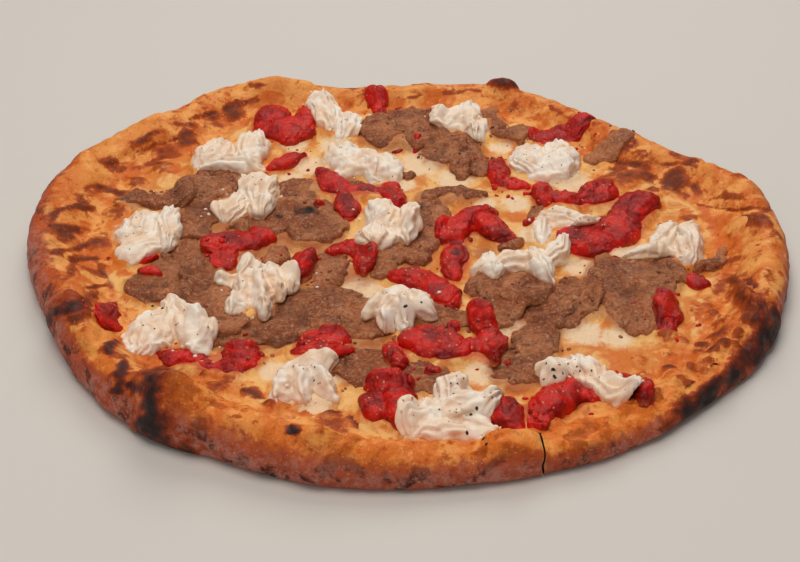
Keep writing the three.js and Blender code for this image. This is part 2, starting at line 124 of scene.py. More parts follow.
RICOTTA = [
    [(-103, 98, 34, 26, 70, 9), (-84, 100, 38, 20, 85, 11), (-94, 86, 38, 18, 0, 7)],
    [(-42, 136, 40, 21, 105, 10), (-31, 126, 30, 20, 90, 9), (-48, 148, 18, 14, 60, 7)],
    [(31, 132, 28, 22, 20, 8), (40, 133, 36, 15, 95, 10), (43, 117, 24, 13, 90, 9)],
    [(-137, 24, 34, 23, 80, 9), (-122, 20, 44, 14, 92, 11), (-136, 3, 26, 19, 30, 8)],
    [(-78, 60, 36, 22, 95, 12), (-90, 44, 30, 19, 70, 9), (-75, 44, 28, 19, 90, 9)],
    [(-30, 87, 40, 24, 105, 10), (-18, 80, 36, 21, 115, 11), (-7, 79, 30, 14, 105, 9)],
    [(-10, 29, 32, 22, 110, 12), (-13, 10, 28, 22, 80, 9), (3, 21, 40, 13, 85, 13)],
    [(72, 82, 34, 24, 90, 10), (88, 82, 36, 24, 95, 11), (80, 71, 36, 16, 0, 7)],
    [(84, 26, 30, 18, -30, 9), (94, 19, 19, 14, 20, 8), (73, 17, 30, 12, 80, 7)],
    [(43, -19, 30, 14, 100, 9), (56, -16, 30, 15, 15, 11), (68, -21, 32, 14, 108, 12),
     (76, -9, 28, 13, 60, 10)],
    [(126, -7, 32, 16, 10, 7), (134, 2, 36, 17, 65, 10), (146, -3, 38, 14, 80, 12)],
    [(-79, -26, 42, 10, 86, 13), (-71, -38, 56, 11, 96, 14), (-64, -32, 38, 10, 104, 13),
     (-58, -29, 28, 10, 105, 9), (-87, -27, 18, 11, 30, 7), (-82, -46, 24, 11, 80, 8)],
    [(-123, -68, 40, 23, 75, 9), (-114, -57, 26, 18, 100, 9), (-104, -67, 32, 17, -60, 11),
     (-98, -77, 26, 14, 80, 9)],
    [(-12, -48, 26, 9, 56, 10), (-7, -53, 30, 9, 76, 11), (-1, -54, 30, 10, 98, 12),
     (6, -49, 26, 11, 128, 11), (-4, -42, 18, 15, 0, 12)],
    [(-56, -110, 36, 12, 80, 10), (-49, -108, 30, 11, 105, 12), (-40, -111, 30, 11, 123, 11),
     (-45, -98, 24, 15, -10, 10)],
    [(21, -121, 28, 17, 80, 12), (8, -137, 30, 21, 60, 9), (26, -133, 32, 21, 10, 12),
     (31, -148, 28, 14, 130, 9), (16, -147, 26, 15, 0, 8)],
    [(70, -103, 24, 12, 25, 8), (67, -111, 18, 12, 80, 8), (84, -106, 32, 15, 110, 10),
     (93, -121, 26, 15, 130, 9)],
]

# How round a lobe's top is as it is laid: 1 is a ball, less is flatter.
ROUNDNESS = {"meatball": 0.35, "tomato": 0.8, "ricotta": 0.9}

# ---- the camera
# EYE is where the picture was taken from, in millimetres of the source's frame.

EYE = np.array([-2.299, -749.932, 514.483])
EYE_ELEVATION = math.radians(35)
EYE_ROLL = math.radians(-1.31)
LENS = 79.387
SENSOR = 36
SEEN_PLANE = 10  # the height at which places were read off the photograph
SIGHT_START = 45  # above everything that a piece can lie on
SIGHT_STEP = 0.5
SEEN_SHARE = 0.3  # of a lobe's height, where its middle shows


def seen_from_eye(points):
    """Where points show in the plane SEEN_PLANE, along the line from the eye."""
    share = (EYE[2] - SEEN_PLANE) / (EYE[2] - points[..., 2:3])
    return (EYE + (points - EYE) * share)[..., :2]


# ---- numbers

# Large odd numbers that shuffle whole-numbered places into even noise.
PLACE_FACTORS = (374761393, 668265263, 3266489917)
SEED_FACTOR = 1442695041
SHUFFLES = ((13, 1274126177), (15, 2246822519))


def table(*columns):
    """Columns of numbers side by side, such as the x, y and z of points."""
    return np.stack(np.broadcast_arrays(*columns), axis=-1)


def random_lattice(place, seed):
    """A repeatable number from -1 to 1 for each whole-numbered place."""
    h = np.uint32((seed * SEED_FACTOR) & 0xFFFFFFFF)
    for axis, factor in enumerate(PLACE_FACTORS):
        h = h + place[:, axis].astype(np.uint32) * np.uint32(factor)
    for shift, factor in SHUFFLES:
        h = (h ^ (h >> np.uint32(shift))) * np.uint32(factor)
    return (h ^ (h >> np.uint32(16))) / 2.0**31 - 1


def noise(points, size, seed):
    """Smooth noise from -1 to 1 with bumps of about this size."""
    cell = np.floor(points / size)
    f = points / size - cell
    f = f * f * (3 - 2 * f)
    cell = cell.astype(np.int64)
    total = 0
    for corner in range(8):
        step = np.array([(corner >> axis) & 1 for axis in range(3)])
        x, y, z = np.where(step, f, 1 - f).T
        total = total + x * y * z * random_lattice(cell + step, seed)
    return total


def nearest_cell(points, size, seed):
    """Distance to the nearest of scattered middles, in cell sizes, and its number."""
    p = points / size
    cell = np.floor(p).astype(np.int64)
    best = np.full(len(p), 9.0)
    number = np.zeros(len(p))
    for step in range(27):
        near = cell + [(step // 3**axis) % 3 - 1 for axis in range(3)]
        away = 0
        for axis in range(3):
            middle = near[:, axis] + 0.5 + 0.42 * random_lattice(near, seed + 7 * axis)
            away = away + (middle - p[:, axis]) ** 2
        closer = away < best
        best = np.where(closer, away, best)
        number = np.where(closer, random_lattice(near, seed + 91), number)
    return np.sqrt(best), number


def smoothstep(value, low, high):
    """0 below low, 1 above high, and a soft curve between."""
    t = np.clip((value - low) / (high - low), 0, 1)
    return t * t * (3 - 2 * t)


def dome(away):
    """A half round over distances: 1 in the middle, and 0 from a distance of 1."""
    return np.sqrt(np.maximum(0, 1 - away**2))


def rough_noise(points, size, seed):
    """Three layers of smooth noise, each half the size and strength of the last."""
    return sum(0.5**layer * noise(points, size / 2**layer, seed + 17 * layer) for layer in range(3))


def torn(points, size, seeds):
    """Rough noise on x and on y, by place, to tear an outline."""
    here = table(points[:, 0], points[:, 1], 0.0)
    return table(*(rough_noise(here, size, seed) for seed in seeds))


def wandering(places, far, size, seed):
    """Places moved about by noise, so that what is drawn by them looks torn."""
    return places + far * torn(places, size, (seed, seed + 5))


def stroke_distance(places, x0, y0, x1, y1):
    """How far places are from a straight stroke."""
    start, along = np.array([x0, y0]), np.array([x1 - x0, y1 - y0])
    t = np.clip((places - start) @ along / (along @ along), 0, 1)
    return np.linalg.norm(places - start - t[:, None] * along, axis=1)


# ---- rim shape


def around(values, angle):
    """A smooth closed curve through evenly spaced values, read at angles."""
    n = len(values)
    place = (angle / TURN) % 1.0 * n
    k = np.floor(place).astype(int)
    t = place - k
    a, b, c, d = (np.take(values, (k + step) % n) for step in (-1, 0, 1, 2))
    return b + 0.5 * t * (c - a + t * (2 * a - 5 * b + 4 * c - d + t * (3 * (b - c) + d - a)))


def bubble_rise(x, y):
    """The blown-up domes of the bubbles over a place."""
    domes = [height * dome(np.hypot(x - bx, y - by) / r) for bx, by, r, height in BUBBLES]
    return np.max(domes, axis=0)


def inner_slope(share):
    """Height of the rim's inner slope from crest (0) to foot (1), as a share."""
    return (1 - np.clip(share, 0, 1) ** 1.7) ** 1.4


def rim_place(x, y):
    """The angle of a place, and how far in from the outline it is."""
    angle = np.arctan2(y, x)
    return angle, around(RIM_REACH, angle) - np.hypot(x, y)


def rim_share(x, y):
    """How far down the rim's inner slope a place is: 0 at the crest, 1 at the foot."""
    angle, inward = rim_place(x, y)
    return (inward - RIM_SHOULDER) / (around(RIM_WIDTH, angle) - RIM_SHOULDER)


def crust_top(x, y):
    """Height of the bare crust's top over a place."""
    angle, inward = rim_place(x, y)
    height = around(RIM_HEIGHT, angle)
    belly = RIM_BELLY * height
    rise = bubble_rise(x, y)
    lean = 1 - np.clip(inward / RIM_SHOULDER, 0, 1)
    shoulder = belly + (height - belly) * np.sqrt(1 - lean * lean) + rise
    share = rim_share(x, y)
    slope = DOUGH_THICKNESS + (height - DOUGH_THICKNESS) * inner_slope(share) + rise * (1 - share)
    slope = np.where(share >= 1, DOUGH_THICKNESS, slope)
    return np.where(inward < 0, 0, np.where(inward < RIM_SHOULDER, shoulder, slope))


# Domes and creases of the crust, where they show in the plane SEEN_PLANE: x, y to
# x, y, radius, and height (below 0 for a crease).
CRUST_FORMS = [
    # the big bubble at the front left, and the creases beside it
    (-128, -110, -127, -127, 4, -5.5), (-127, -127, -124, -142, 4, -5.5),
    (-124, -142, -116, -157, 4, -5), (-138, -108, -137, -128, 8, -2.4),
    (-110, -110, -105, -134, 13, 6.5), (-88, -116, -77, -124, 5, -1.8),
    # the left: a bubble, its creases and small lumps
    (-161, -52, -157, -62, 10, 3.5), (-149, -42, -146, -58, 4, -2.5), (-146, -58, -147, -71, 4, -2.5),
    (-160, -78, -152, -82, 4.5, -2), (-142, -79, -141, -79, 4, 1.6), (-136, -88, -135, -88, 3.5, 1.4),
    (-131, -108, -129, -106, 6, 2),
    # the front: a golden dome, a dark round blister and smaller forms
    (-39, -144, -37, -144, 8, 2.6), (-31, -137, -30, -149, 3, -1.6), (-30, -149, -36, -157, 3, -1.4),
    (-14, -144, -13.5, -144, 3.6, 2.6), (-2, -153, 0, -153, 6, 1.2), (31, -161, 32, -161, 4.5, -2.4),
    (44, -157, 50, -163, 9, 2.2), (81, -147, 73, -153, 5, -2.2), (86, -144, 98, -133, 3, 1.6),
    (98, -133, 106, -128, 3, 1.6),
    # the right: burnt lumps, and the crease across the rim
    (163, -37, 167, -52, 5.5, 2.6), (167, -54, 171, -66, 5, 2.6), (170, -70, 172, -80, 5.5, 2.4),
    (160, -88, 147, -109, 4, 1.8), (147, -109, 132, -127, 4, 1.6), (132, -127, 116, -145, 4, 1.4),
    (155, -88, 156, -90, 4, 1.2), (145, -103, 146, -104, 3.5, 1.2), (134, -114, 135, -115, 3.5, 1.2),
    (157, 35, 177, 28, 3, -2.2), (177, 28, 199, 33, 3, -2.2), (166, 14, 184, 16, 10, 2.2),
    # the back: a dark bubble, and a golden dome to the right of it
    (62, 168, 64, 172, 9, 2),
    (122, 60, 124, 61, 12, 3), (110, 70, 121, 79, 3, -1.2), (121, 79, 134, 70, 3, -1.2),
    # the back left and the left: streaks and swellings
    (-161, 89, -146, 104, 4, -2), (-146, 104, -131, 115, 4, -1.6), (-167, 68, -152, 60, 3.5, -2),
    (-118, 139, -100, 152, 4, -1.6), (-181, 24, -160, 21, 5, -2.2), (-189, 32, -182, 46, 3.5, -1.6),
    (-170, -6, -158, -3, 3, -1.8), (-157, -6, -147, -25, 3, -1.4), (-163, -16, -161, -20, 8, 2),
    (-174, 44, -160, 46, 8, 2),
]


def crust_forms(x, y):
    """The named domes and creases of the crust, over a place."""
    seen = wandering(seen_from_eye(table(x, y, crust_top(x, y))), 1.6, 9, 11)
    total = np.zeros(len(x))
    for *stroke, radius, height in CRUST_FORMS:
        total += height * np.exp(-((stroke_distance(seen, *stroke) / radius) ** 2))
    return total


# Where the front right of the rim is thin: its middle, and two distances from it.
THIN_MIDDLE, THIN_REACH, THIN_CORE = (142, -96), 66, 38


def right_side(x, y):
    """1 where the front right of the rim is thin and blistered, 0 elsewhere."""
    away = np.hypot(x - THIN_MIDDLE[0], y - THIN_MIDDLE[1])
    return smoothstep(away, THIN_REACH, THIN_CORE)


def crust_lumps(x, y):
    """How much the fine crust stands above or below the plain form, by place."""
    here = table(x, y, 0.0)
    lumps = 1.6 * noise(here, 34, 3) + 1.5 * noise(here, 15, 5) + 0.6 * noise(here, 6.5, 9)
    away, number = nearest_cell(here, 12, 21)
    blisters = np.where(number > -0.1, dome(away / 0.5), 0)
    crags = right_side(x, y) * (1.9 * noise(here, 8, 13) + noise(here, 3.5, 15) - 2.5)
    return lumps + 1.5 * blisters + crags + crust_forms(x, y)


def rim_grid(segments, wall_rings, shoulder_rings, slope_rings):
    """The crust's points, ring by ring from the base up and in to the foot.

    Returns the points, how far each is down the inner slope, and how upright.
    """
    angle = np.arange(segments) * TURN / segments
    reach, crest, width = (around(v, angle) for v in (RIM_REACH, RIM_HEIGHT, RIM_WIDTH))
    belly = RIM_BELLY * crest
    wall = np.linspace(math.pi / 2, 0, wall_rings, endpoint=False)[:, None]
    shoulder = np.linspace(0, math.pi / 2, shoulder_rings, endpoint=False)[:, None]
    slope = np.linspace(0, 1, slope_rings + 1)[:, None]
    turns = np.concatenate([RIM_UNDERCUT * (1 - np.cos(wall)), RIM_SHOULDER * (1 - np.cos(shoulder))])
    # Adding 0 * reach spreads one number for each ring over all its segments.
    inward = np.concatenate([turns + 0 * reach, RIM_SHOULDER + slope * (width - RIM_SHOULDER)])
    height = np.concatenate([
        belly * (1 - np.sin(wall)),
        belly + (crest - belly) * np.sin(shoulder),
        DOUGH_THICKNESS + (crest - DOUGH_THICKNESS) * inner_slope(slope),
    ])
    share = np.concatenate([0 * turns, slope]) + 0 * reach
    radius = reach - inward
    x, y = radius * np.cos(angle), radius * np.sin(angle)
    rise = bubble_rise(x, y) * (1 - share)
    upward = np.minimum(1, height / crest)
    swell = 1 + 0.35 * rise * (1 - share) * (1 - upward**2) / radius
    return table(x * swell, y * swell, height + rise * upward), share, upward


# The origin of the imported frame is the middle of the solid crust's box.
SOLID_RIM = (96, 2, 4, 4)  # segments, and rings of the wall, shoulder and slope
coarse_points = rim_grid(*SOLID_RIM)[0]
coarse_middle = (coarse_points.min(axis=(0, 1)) + coarse_points.max(axis=(0, 1))) / 2
SHIFT = -coarse_middle * [1, 1, 0]


# ---- meshes


def add_object(name, data):
    """A new object of the scene."""
    made = bpy.data.objects.new(name, data)
    bpy.context.scene.collection.objects.link(made)
    return made


def make_mesh(name, points, faces, marks=None):
    """A smooth-shaded object from points in millimetres and a table of faces."""
    mesh = bpy.data.meshes.new(name)
    mesh.vertices.add(len(points))
    mesh.vertices.foreach_set("co", ((points + SHIFT) / 1000).astype(np.float32).ravel())
    mesh.loops.add(faces.size)
    mesh.loops.foreach_set("vertex_index", faces.astype(np.int32).ravel())
    mesh.polygons.add(len(faces))
    mesh.polygons.foreach_set("loop_start", np.arange(0, faces.size, faces.shape[1], dtype=np.int32))
    mesh.update(calc_edges=True)
    mesh.validate()
    mesh.polygons.foreach_set("use_smooth", np.ones(len(mesh.polygons), dtype=bool))
    for key, values in (marks or {}).items():
        layer = mesh.attributes.new(key, "FLOAT", "POINT")
        layer.data.foreach_set("value", np.asarray(values, dtype=np.float32))
    return add_object(name, mesh)


def triangle_mesh(name, points, faces, marks=None):
    """A mesh of triangles, from four-cornered faces that may repeat a corner."""
    halves = np.concatenate([faces[:, [0, 1, 2]], faces[:, [0, 2, 3]]])
    real = (halves != np.roll(halves, 1, axis=1)).all(axis=1)
    return make_mesh(name, points, halves[real], marks)


def read_mesh(mesh):
    """Points in millimetres and four-cornered faces (a triangle repeats a corner)."""
    points = np.empty(len(mesh.vertices) * 3, dtype=np.float32)
    corners = np.empty(len(mesh.loops), dtype=np.int32)
    starts, totals = np.empty((2, len(mesh.polygons)), dtype=np.int32)
    mesh.vertices.foreach_get("co", points)
    mesh.loops.foreach_get("vertex_index", corners)
    mesh.polygons.foreach_get("loop_start", starts)
    mesh.polygons.foreach_get("loop_total", totals)
    order = starts[:, None] + np.minimum(np.arange(4), totals[:, None] - 1)
    return points.reshape(-1, 3).astype(float) * 1000 - SHIFT, corners[order]


def evaluated(made):
    """Points and faces of an object with its modifiers applied; the object goes."""
    graph = bpy.context.evaluated_depsgraph_get()
    graph.update()
    mesh = bpy.data.meshes.new_from_object(made.evaluated_get(graph))
    bpy.data.objects.remove(made)
    return read_mesh(mesh)


def joined(parts):
    """The points and faces of several meshes as those of one."""
    points, faces = zip(*parts)
    starts = np.cumsum([0] + [len(some) for some in points[:-1]])
    return np.concatenate(points), np.concatenate([f + start for f, start in zip(faces, starts)])


def sums_by_corner(corners, values, count):
    """For each point, the sum of the values at the corners that use it."""
    return table(*(np.bincount(corners, column, count) for column in values.T))


def point_normals(points, faces):
    """Smooth outward directions of a mesh's points."""
    a, b, c, d = (points[faces[:, corner]] for corner in range(4))
    cross = np.cross(c - a, d - b)
    total = sum(sums_by_corner(faces[:, corner], cross, len(points)) for corner in range(4))
    return total / np.maximum(np.linalg.norm(total, axis=1, keepdims=True), 1e-9)


def relaxed(points, faces, times):
    """Points drawn halfway to the middle of their neighbours, to smooth steps."""
    one, other = faces.T.ravel(), np.roll(faces, -1, axis=1).T.ravel()
    number = len(points)
    count = np.maximum(np.bincount(np.append(one, other), minlength=number), 1)[:, None]
    for _ in range(times):
        middle = sums_by_corner(one, points[other], number) + sums_by_corner(other, points[one], number)
        points = points + 0.5 * (middle / count - points)
    return points


def kept_faces(points, faces, keep, *columns):
    """The faces that a rule keeps, with unused points taken out."""
    faces = faces[keep]
    used = np.zeros(len(points), dtype=bool)
    used[faces.ravel()] = True
    number = np.cumsum(used) - 1
    return points[used], number[faces], *(column[used] for column in columns)


def grid_faces(rows, columns, closed):
    """Faces between the points of a grid that may close on itself along a row."""
    row, column = np.indices((rows - 1, columns if closed else columns - 1)).reshape(2, -1)
    start, beside = row * columns, (column + 1) % columns
    return table(start + column, start + beside, start + columns + beside, start + columns + column)


def ball_points(rises, sides):
    """Points of a ball of radius 1, row by row: the rises are angles above its middle."""
    rise, turn = np.meshgrid(rises, np.arange(sides) * TURN / sides, indexing="ij")
    points = table(np.cos(rise) * np.cos(turn), np.cos(rise) * np.sin(turn), np.sin(rise))
    return points.reshape(-1, 3)


# ---- the support
# A map of what a topping lies on, to drape each piece over those laid before it.

MAP_REACH = 210
MAP_STEP = 0.5
MAP_SOFTNESS = 5  # cells of blur


def blurred(values, reach):
    """The map averaged over a small square, three times over, for a soft drape."""
    steps = range(-reach // 2, reach // 2 + 1)
    for axis in (0, 1) * 3:
        total = np.zeros_like(values)
        for step in steps:
            total += np.roll(values, step, axis)
        values = total / len(steps)
    return values


map_line = np.arange(-MAP_REACH, MAP_REACH + MAP_STEP, MAP_STEP)
map_x, map_y = np.meshgrid(map_line, map_line, indexing="ij")
support_map = np.maximum(CHEESE_TOP, crust_top(map_x, map_y))


def read_map(values, x, y):
    """The map's value at places between its cells."""
    i, j = (np.clip((place + MAP_REACH) / MAP_STEP, 0, len(map_line) - 2) for place in (x, y))
    a, b = i.astype(int), j.astype(int)
    u, v = i - a, j - b
    low = values[a, b] * (1 - u) + values[a + 1, b] * u
    high = values[a, b + 1] * (1 - u) + values[a + 1, b + 1] * u
    return low * (1 - v) + high * v


def lobe_place(lobe, x, y):
    """Along and across a lobe, from -1 to 1 between its ends and its sides."""
    angle = math.radians(lobe[4])
    dx, dy = x - lobe[0], y - lobe[1]
    along = (dx * math.cos(angle) + dy * math.sin(angle)) / (lobe[2] / 2)
    across = (dy * math.cos(angle) - dx * math.sin(angle)) / (lobe[3] / 2)
    return along, across


def place_on_lobe(lobe, along, across):
    """The place that is so many millimetres along and across a lobe."""
    angle = math.radians(lobe[4])
    x = lobe[0] + along * math.cos(angle) - across * math.sin(angle)
    y = lobe[1] + along * math.sin(angle) + across * math.cos(angle)
    return x, y


def lobe_height(lobe, roundness, x, y):
    """Height of one lobe over a place, above what it lies on."""
    along, across = lobe_place(lobe, x, y)
    return lobe[5] * np.sqrt(np.maximum(0, 1 - along**2 - across**2)) ** roundness


def sight_move(lobe):
    """How far a lobe lies from where it shows, as it lies higher than the plane."""
    shown = np.array(lobe[:2], dtype=float)
    z = float(SIGHT_START)
    while True:
        place = EYE[:2] + (shown - EYE[:2]) * (EYE[2] - z) / (EYE[2] - SEEN_PLANE)
        if z <= CHEESE_TOP or z <= read_map(support_map, *place) + SEEN_SHARE * lobe[5]:
            return place - shown
        z -= SIGHT_STEP


def seated(lobes):
    """A piece moved as a whole from where it shows to where it lies."""
    move = np.mean([sight_move(lobe) for lobe in lobes], axis=0)
    return [(lobe[0] + move[0], lobe[1] + move[1], *lobe[2:]) for lobe in lobes]


def laid_pieces():
    """Every topping in the order it was laid: kind, number, lobes, what it lies on."""
    pieces = []
    for kind, lists in (("meatball", MEATBALL), ("tomato", TOMATO), ("ricotta", RICOTTA)):
        for number, shown in enumerate(lists, 1):
            lobes = seated(shown)
            pieces.append((kind, number, lobes, blurred(support_map, MAP_SOFTNESS)))
            heights = [lobe_height(lobe, ROUNDNESS[kind], map_x, map_y) for lobe in lobes]
            np.add(support_map, np.max(heights, axis=0), out=support_map)
    return pieces


PIECES = laid_pieces()


def lobes_of(wanted):
    """The lobe lists of a kind's pieces."""
    return [lobes for kind, _, lobes, _ in PIECES if kind == wanted]


# ---- shader helpers


def srgb(red, green, blue):
    """A colour read off a screen, 0 to 255, as the linear colour shaders use."""
    parts = [value / 255 for value in (red, green, blue)]
    return [(p / 12.92 if p <= 0.04045 else ((p + 0.055) / 1.055) ** 2.4) for p in parts] + [1]


class Look:
    """A material's node tree, built with short calls. Colour and relief grow in layers."""

    def __init__(self, name, roughness, specular=0.5, subsurface=0.0, radius=(1, 0.5, 0.3)):
        self.material = bpy.data.materials.new(name)
        self.material.use_nodes = True
        self.tree = self.material.node_tree
        self.shader = self.tree.nodes["Principled BSDF"]
        self.shader.inputs["Roughness"].default_value = roughness
        self.shader.inputs["Specular IOR Level"].default_value = specular
        self.shader.inputs["Subsurface Weight"].default_value = subsurface
        self.shader.inputs["Subsurface Radius"].default_value = radius
        self.shader.inputs["Subsurface Scale"].default_value = 0.003
        self.place = self.tree.nodes.new("ShaderNodeTexCoord").outputs["Object"]
        self.colour = None
        self.relief = None

    def fill(self, node, inputs):
        """Sets a node's inputs from numbers, colours or other nodes' outputs."""
        for key, value in inputs.items():
            if isinstance(value, bpy.types.NodeSocket):
                self.tree.links.new(value, node.inputs[key])
            else:
                node.inputs[key].default_value = value
        return node

    def noise(self, size_mm, detail=3, roughness=0.55, distortion=0.0):
        """Noise with features of this size, from 0 to 1."""
        node = self.tree.nodes.new("ShaderNodeTexNoise")
        grain = {"Scale": 1000 / size_mm, "Detail": detail, "Roughness": roughness}
        return self.fill(node, {"Vector": self.place, "Distortion": distortion, **grain}).outputs["Fac"]

    def cells(self, size_mm):
        """Distance to the nearest of scattered middles."""
        node = self.tree.nodes.new("ShaderNodeTexVoronoi")
        return self.fill(node, {"Vector": self.place, "Scale": 1000 / size_mm}).outputs["Distance"]

    def attribute(self, key):
        """A value kept on the mesh's points."""
        node = self.tree.nodes.new("ShaderNodeAttribute")
        node.attribute_name = key
        return node.outputs["Fac"]

    def calc(self, kind, a, b):
        """One sum on numbers or outputs."""
        node = self.tree.nodes.new("ShaderNodeMath")
        node.operation = kind
        return self.fill(node, {0: a, 1: b}).outputs[0]

    def times(self, a, b):
        """The product of two values."""
        return self.calc("MULTIPLY", a, b)

    def plus(self, a, b, share):
        """A value plus a share of another."""
        return self.calc("ADD", a, self.times(b, share))

    def remap(self, value, low, high, to_low=0.0, to_high=1.0):
        """A value's range stretched to another, with the ends held."""
        node = self.tree.nodes.new("ShaderNodeMapRange")
        node.interpolation_type = "SMOOTHSTEP"
        ends = {"From Min": low, "From Max": high, "To Min": to_low, "To Max": to_high}
        return self.fill(node, {"Value": value, **ends}).outputs["Result"]

    def mix(self, share, a, b):
        """Colour a turning into colour b."""
        node = self.tree.nodes.new("ShaderNodeMix")
        node.data_type = "RGBA"
        return self.fill(node, {0: share, 6: a, 7: b}).outputs[2]

    def start(self, pattern, low, high, first, second):
        """The first layer of colour: a tone that turns into another over a pattern."""
        self.colour = self.mix(self.remap(pattern, low, high), srgb(*first), srgb(*second))

    def tint(self, share, strength, *tone):
        """Turns the colour towards a tone, by a share times a strength."""
        self.colour = self.mix(self.times(share, strength), self.colour, srgb(*tone))

    def tone(self, pattern, low, high, strength, *tone):
        """Turns the colour towards a tone where a pattern goes from low to high."""
        self.colour = self.mix(self.remap(pattern, low, high, 0, strength), self.colour, srgb(*tone))

    def bump(self, height, depth_mm, strength):
        """Fine relief on top of what is already there."""
        node = self.tree.nodes.new("ShaderNodeBump")
        self.fill(node, {"Strength": strength, "Distance": depth_mm / 1000, "Height": height})
        if self.relief is not None:
            self.tree.links.new(self.relief, node.inputs["Normal"])
        self.relief = node.outputs["Normal"]

    def finish(self, roughness):
        """Connects the colour, the relief and the gloss."""
        self.fill(self.shader, {"Base Color": self.colour, "Normal": self.relief, "Roughness": roughness})
        return self.material


# ---- materials


def rim_tones(look):
    """The mottled gold and brown of the rim's top, the same on dough and cheese."""
    mottle = look.noise(5, 4, 0.65, 0.25)
    brown = look.plus(look.attribute("brown"), look.calc("SUBTRACT", mottle, 0.5), 1.3)
    look.start(look.noise(14, 4, 0.6, 0.3), 0.38, 0.58, (244, 166, 88), (214, 108, 38))
    look.tone(mottle, 0.5, 0.68, 0.65, 186, 78, 16)
    look.tone(mottle, 0.42, 0.3, 0.6, 246, 182, 108)
    look.tone(brown, 0.2, 0.55, 1, 168, 70, 16)
    look.tone(brown, 0.5, 1.0, 1, 112, 46, 18)


def crust_look():
    """Baked dough: gold on top, red brown and floury outside with painted shade on the outer wall, a
    painted warm glow at the front, burnt on its lumps.
    """
    look = Look("baked_crust", 0.6, 0.22, 0.03)
    mottle = look.noise(5, 4, 0.65, 0.25)
    wobble = look.calc("SUBTRACT", mottle, 0.5)
    fine = look.noise(1.5, 3, 0.6)
    grains = look.cells(1.5)
    wall_colour_and_shade = look.attribute("wall")
    rim_tones(look)
    # Painted warm light: the front of the rim turned towards bright orange.
    look.tint(look.attribute("front_warm_light"), 0.3, 252, 132, 30)
    pale = look.times(look.attribute("pale"), look.remap(mottle, 0.32, 0.6, 0.3, 1))
    look.tint(pale, 0.7, 244, 166, 82)
    # Painted shade on the outer wall, mixed with the wall's own red brown and its dark blots.
    wall = look.plus(wall_colour_and_shade, wobble, 0.9)
    look.tone(wall, 0.15, 0.55, 1, 192, 86, 36)
    look.tone(wall, 0.45, 0.95, 0.9, 178, 82, 56)
    blots = look.remap(look.noise(11, 4, 0.6, 0.5), 0.5, 0.6)
    look.tint(wall_colour_and_shade, blots, 72, 28, 22)
    flour = look.times(look.attribute("flour"), look.remap(look.noise(6, 6, 0.8), 0.44, 0.58))
    look.tint(flour, 0.75, 196, 132, 116)
    light_grains = look.times(look.remap(grains, 0.34, 0.22), look.remap(fine, 0.5, 0.6))
    look.tint(light_grains, 0.4, 246, 180, 110)
    look.tone(fine, 0.36, 0.28, 0.45, 110, 46, 24)
    char = look.plus(look.attribute("char"), wobble, 1)
    look.tone(char, 0.02, 0.3, 1, 164, 64, 22)
    look.tone(char, 0.2, 0.6, 1, 92, 38, 26)
    look.tone(char, 0.6, 1.05, 1, 48, 31, 29)
    look.tint(look.attribute("crumb"), 1, 190, 128, 76)
    look.bump(look.noise(7, 3), 1.0, 0.6)
    look.bump(grains, 0.35, 0.5)
    look.bump(fine, 0.4, 0.7)
    return look.finish(look.remap(mottle, 0.3, 0.7, 0.42, 0.75))


def cheese_look():
    """Melted mozzarella: cream, oily gold, browned where it meets the rim."""
    look = Look("melted_mozzarella", 0.4, 0.22, 0.06, (1, 0.6, 0.35))
    broad = look.noise(13, 4, 0.6, 0.8)
    mottle = look.noise(5, 4, 0.65, 0.5)
    fine = look.noise(1.6, 3)
    rim_mark = look.attribute("rim")
    wobble = look.calc("SUBTRACT", mottle, 0.5)
    look.start(broad, 0.42, 0.6, (240, 184, 108), (218, 130, 54))
    look.tone(look.plus(look.attribute("oil"), wobble, 1), 0.25, 0.8, 1, 218, 118, 36)
    look.tone(look.plus(look.attribute("cream"), wobble, 1), 0.35, 0.7, 1, 240, 208, 168)
    look.tone(look.plus(look.attribute("juice"), wobble, 1.2), 0.3, 0.9, 0.8, 200, 74, 36)
    look.tone(look.plus(look.attribute("meat_fat"), wobble, 1.2), 0.35, 0.95, 0.7, 172, 100, 60)
    middle = look.colour
    rim_tones(look)
    look.colour = look.mix(look.remap(look.plus(rim_mark, wobble, 0.7), 0.3, 0.75), middle, look.colour)
    look.tint(look.remap(fine, 0.66, 0.74), 0.4, 160, 82, 38)
    look.bump(mottle, 1.3, 0.8)
    look.bump(fine, 0.35, 0.7)
    return look.finish(look.plus(look.remap(broad, 0.3, 0.7, 0.25, 0.5), rim_mark, 0.25))


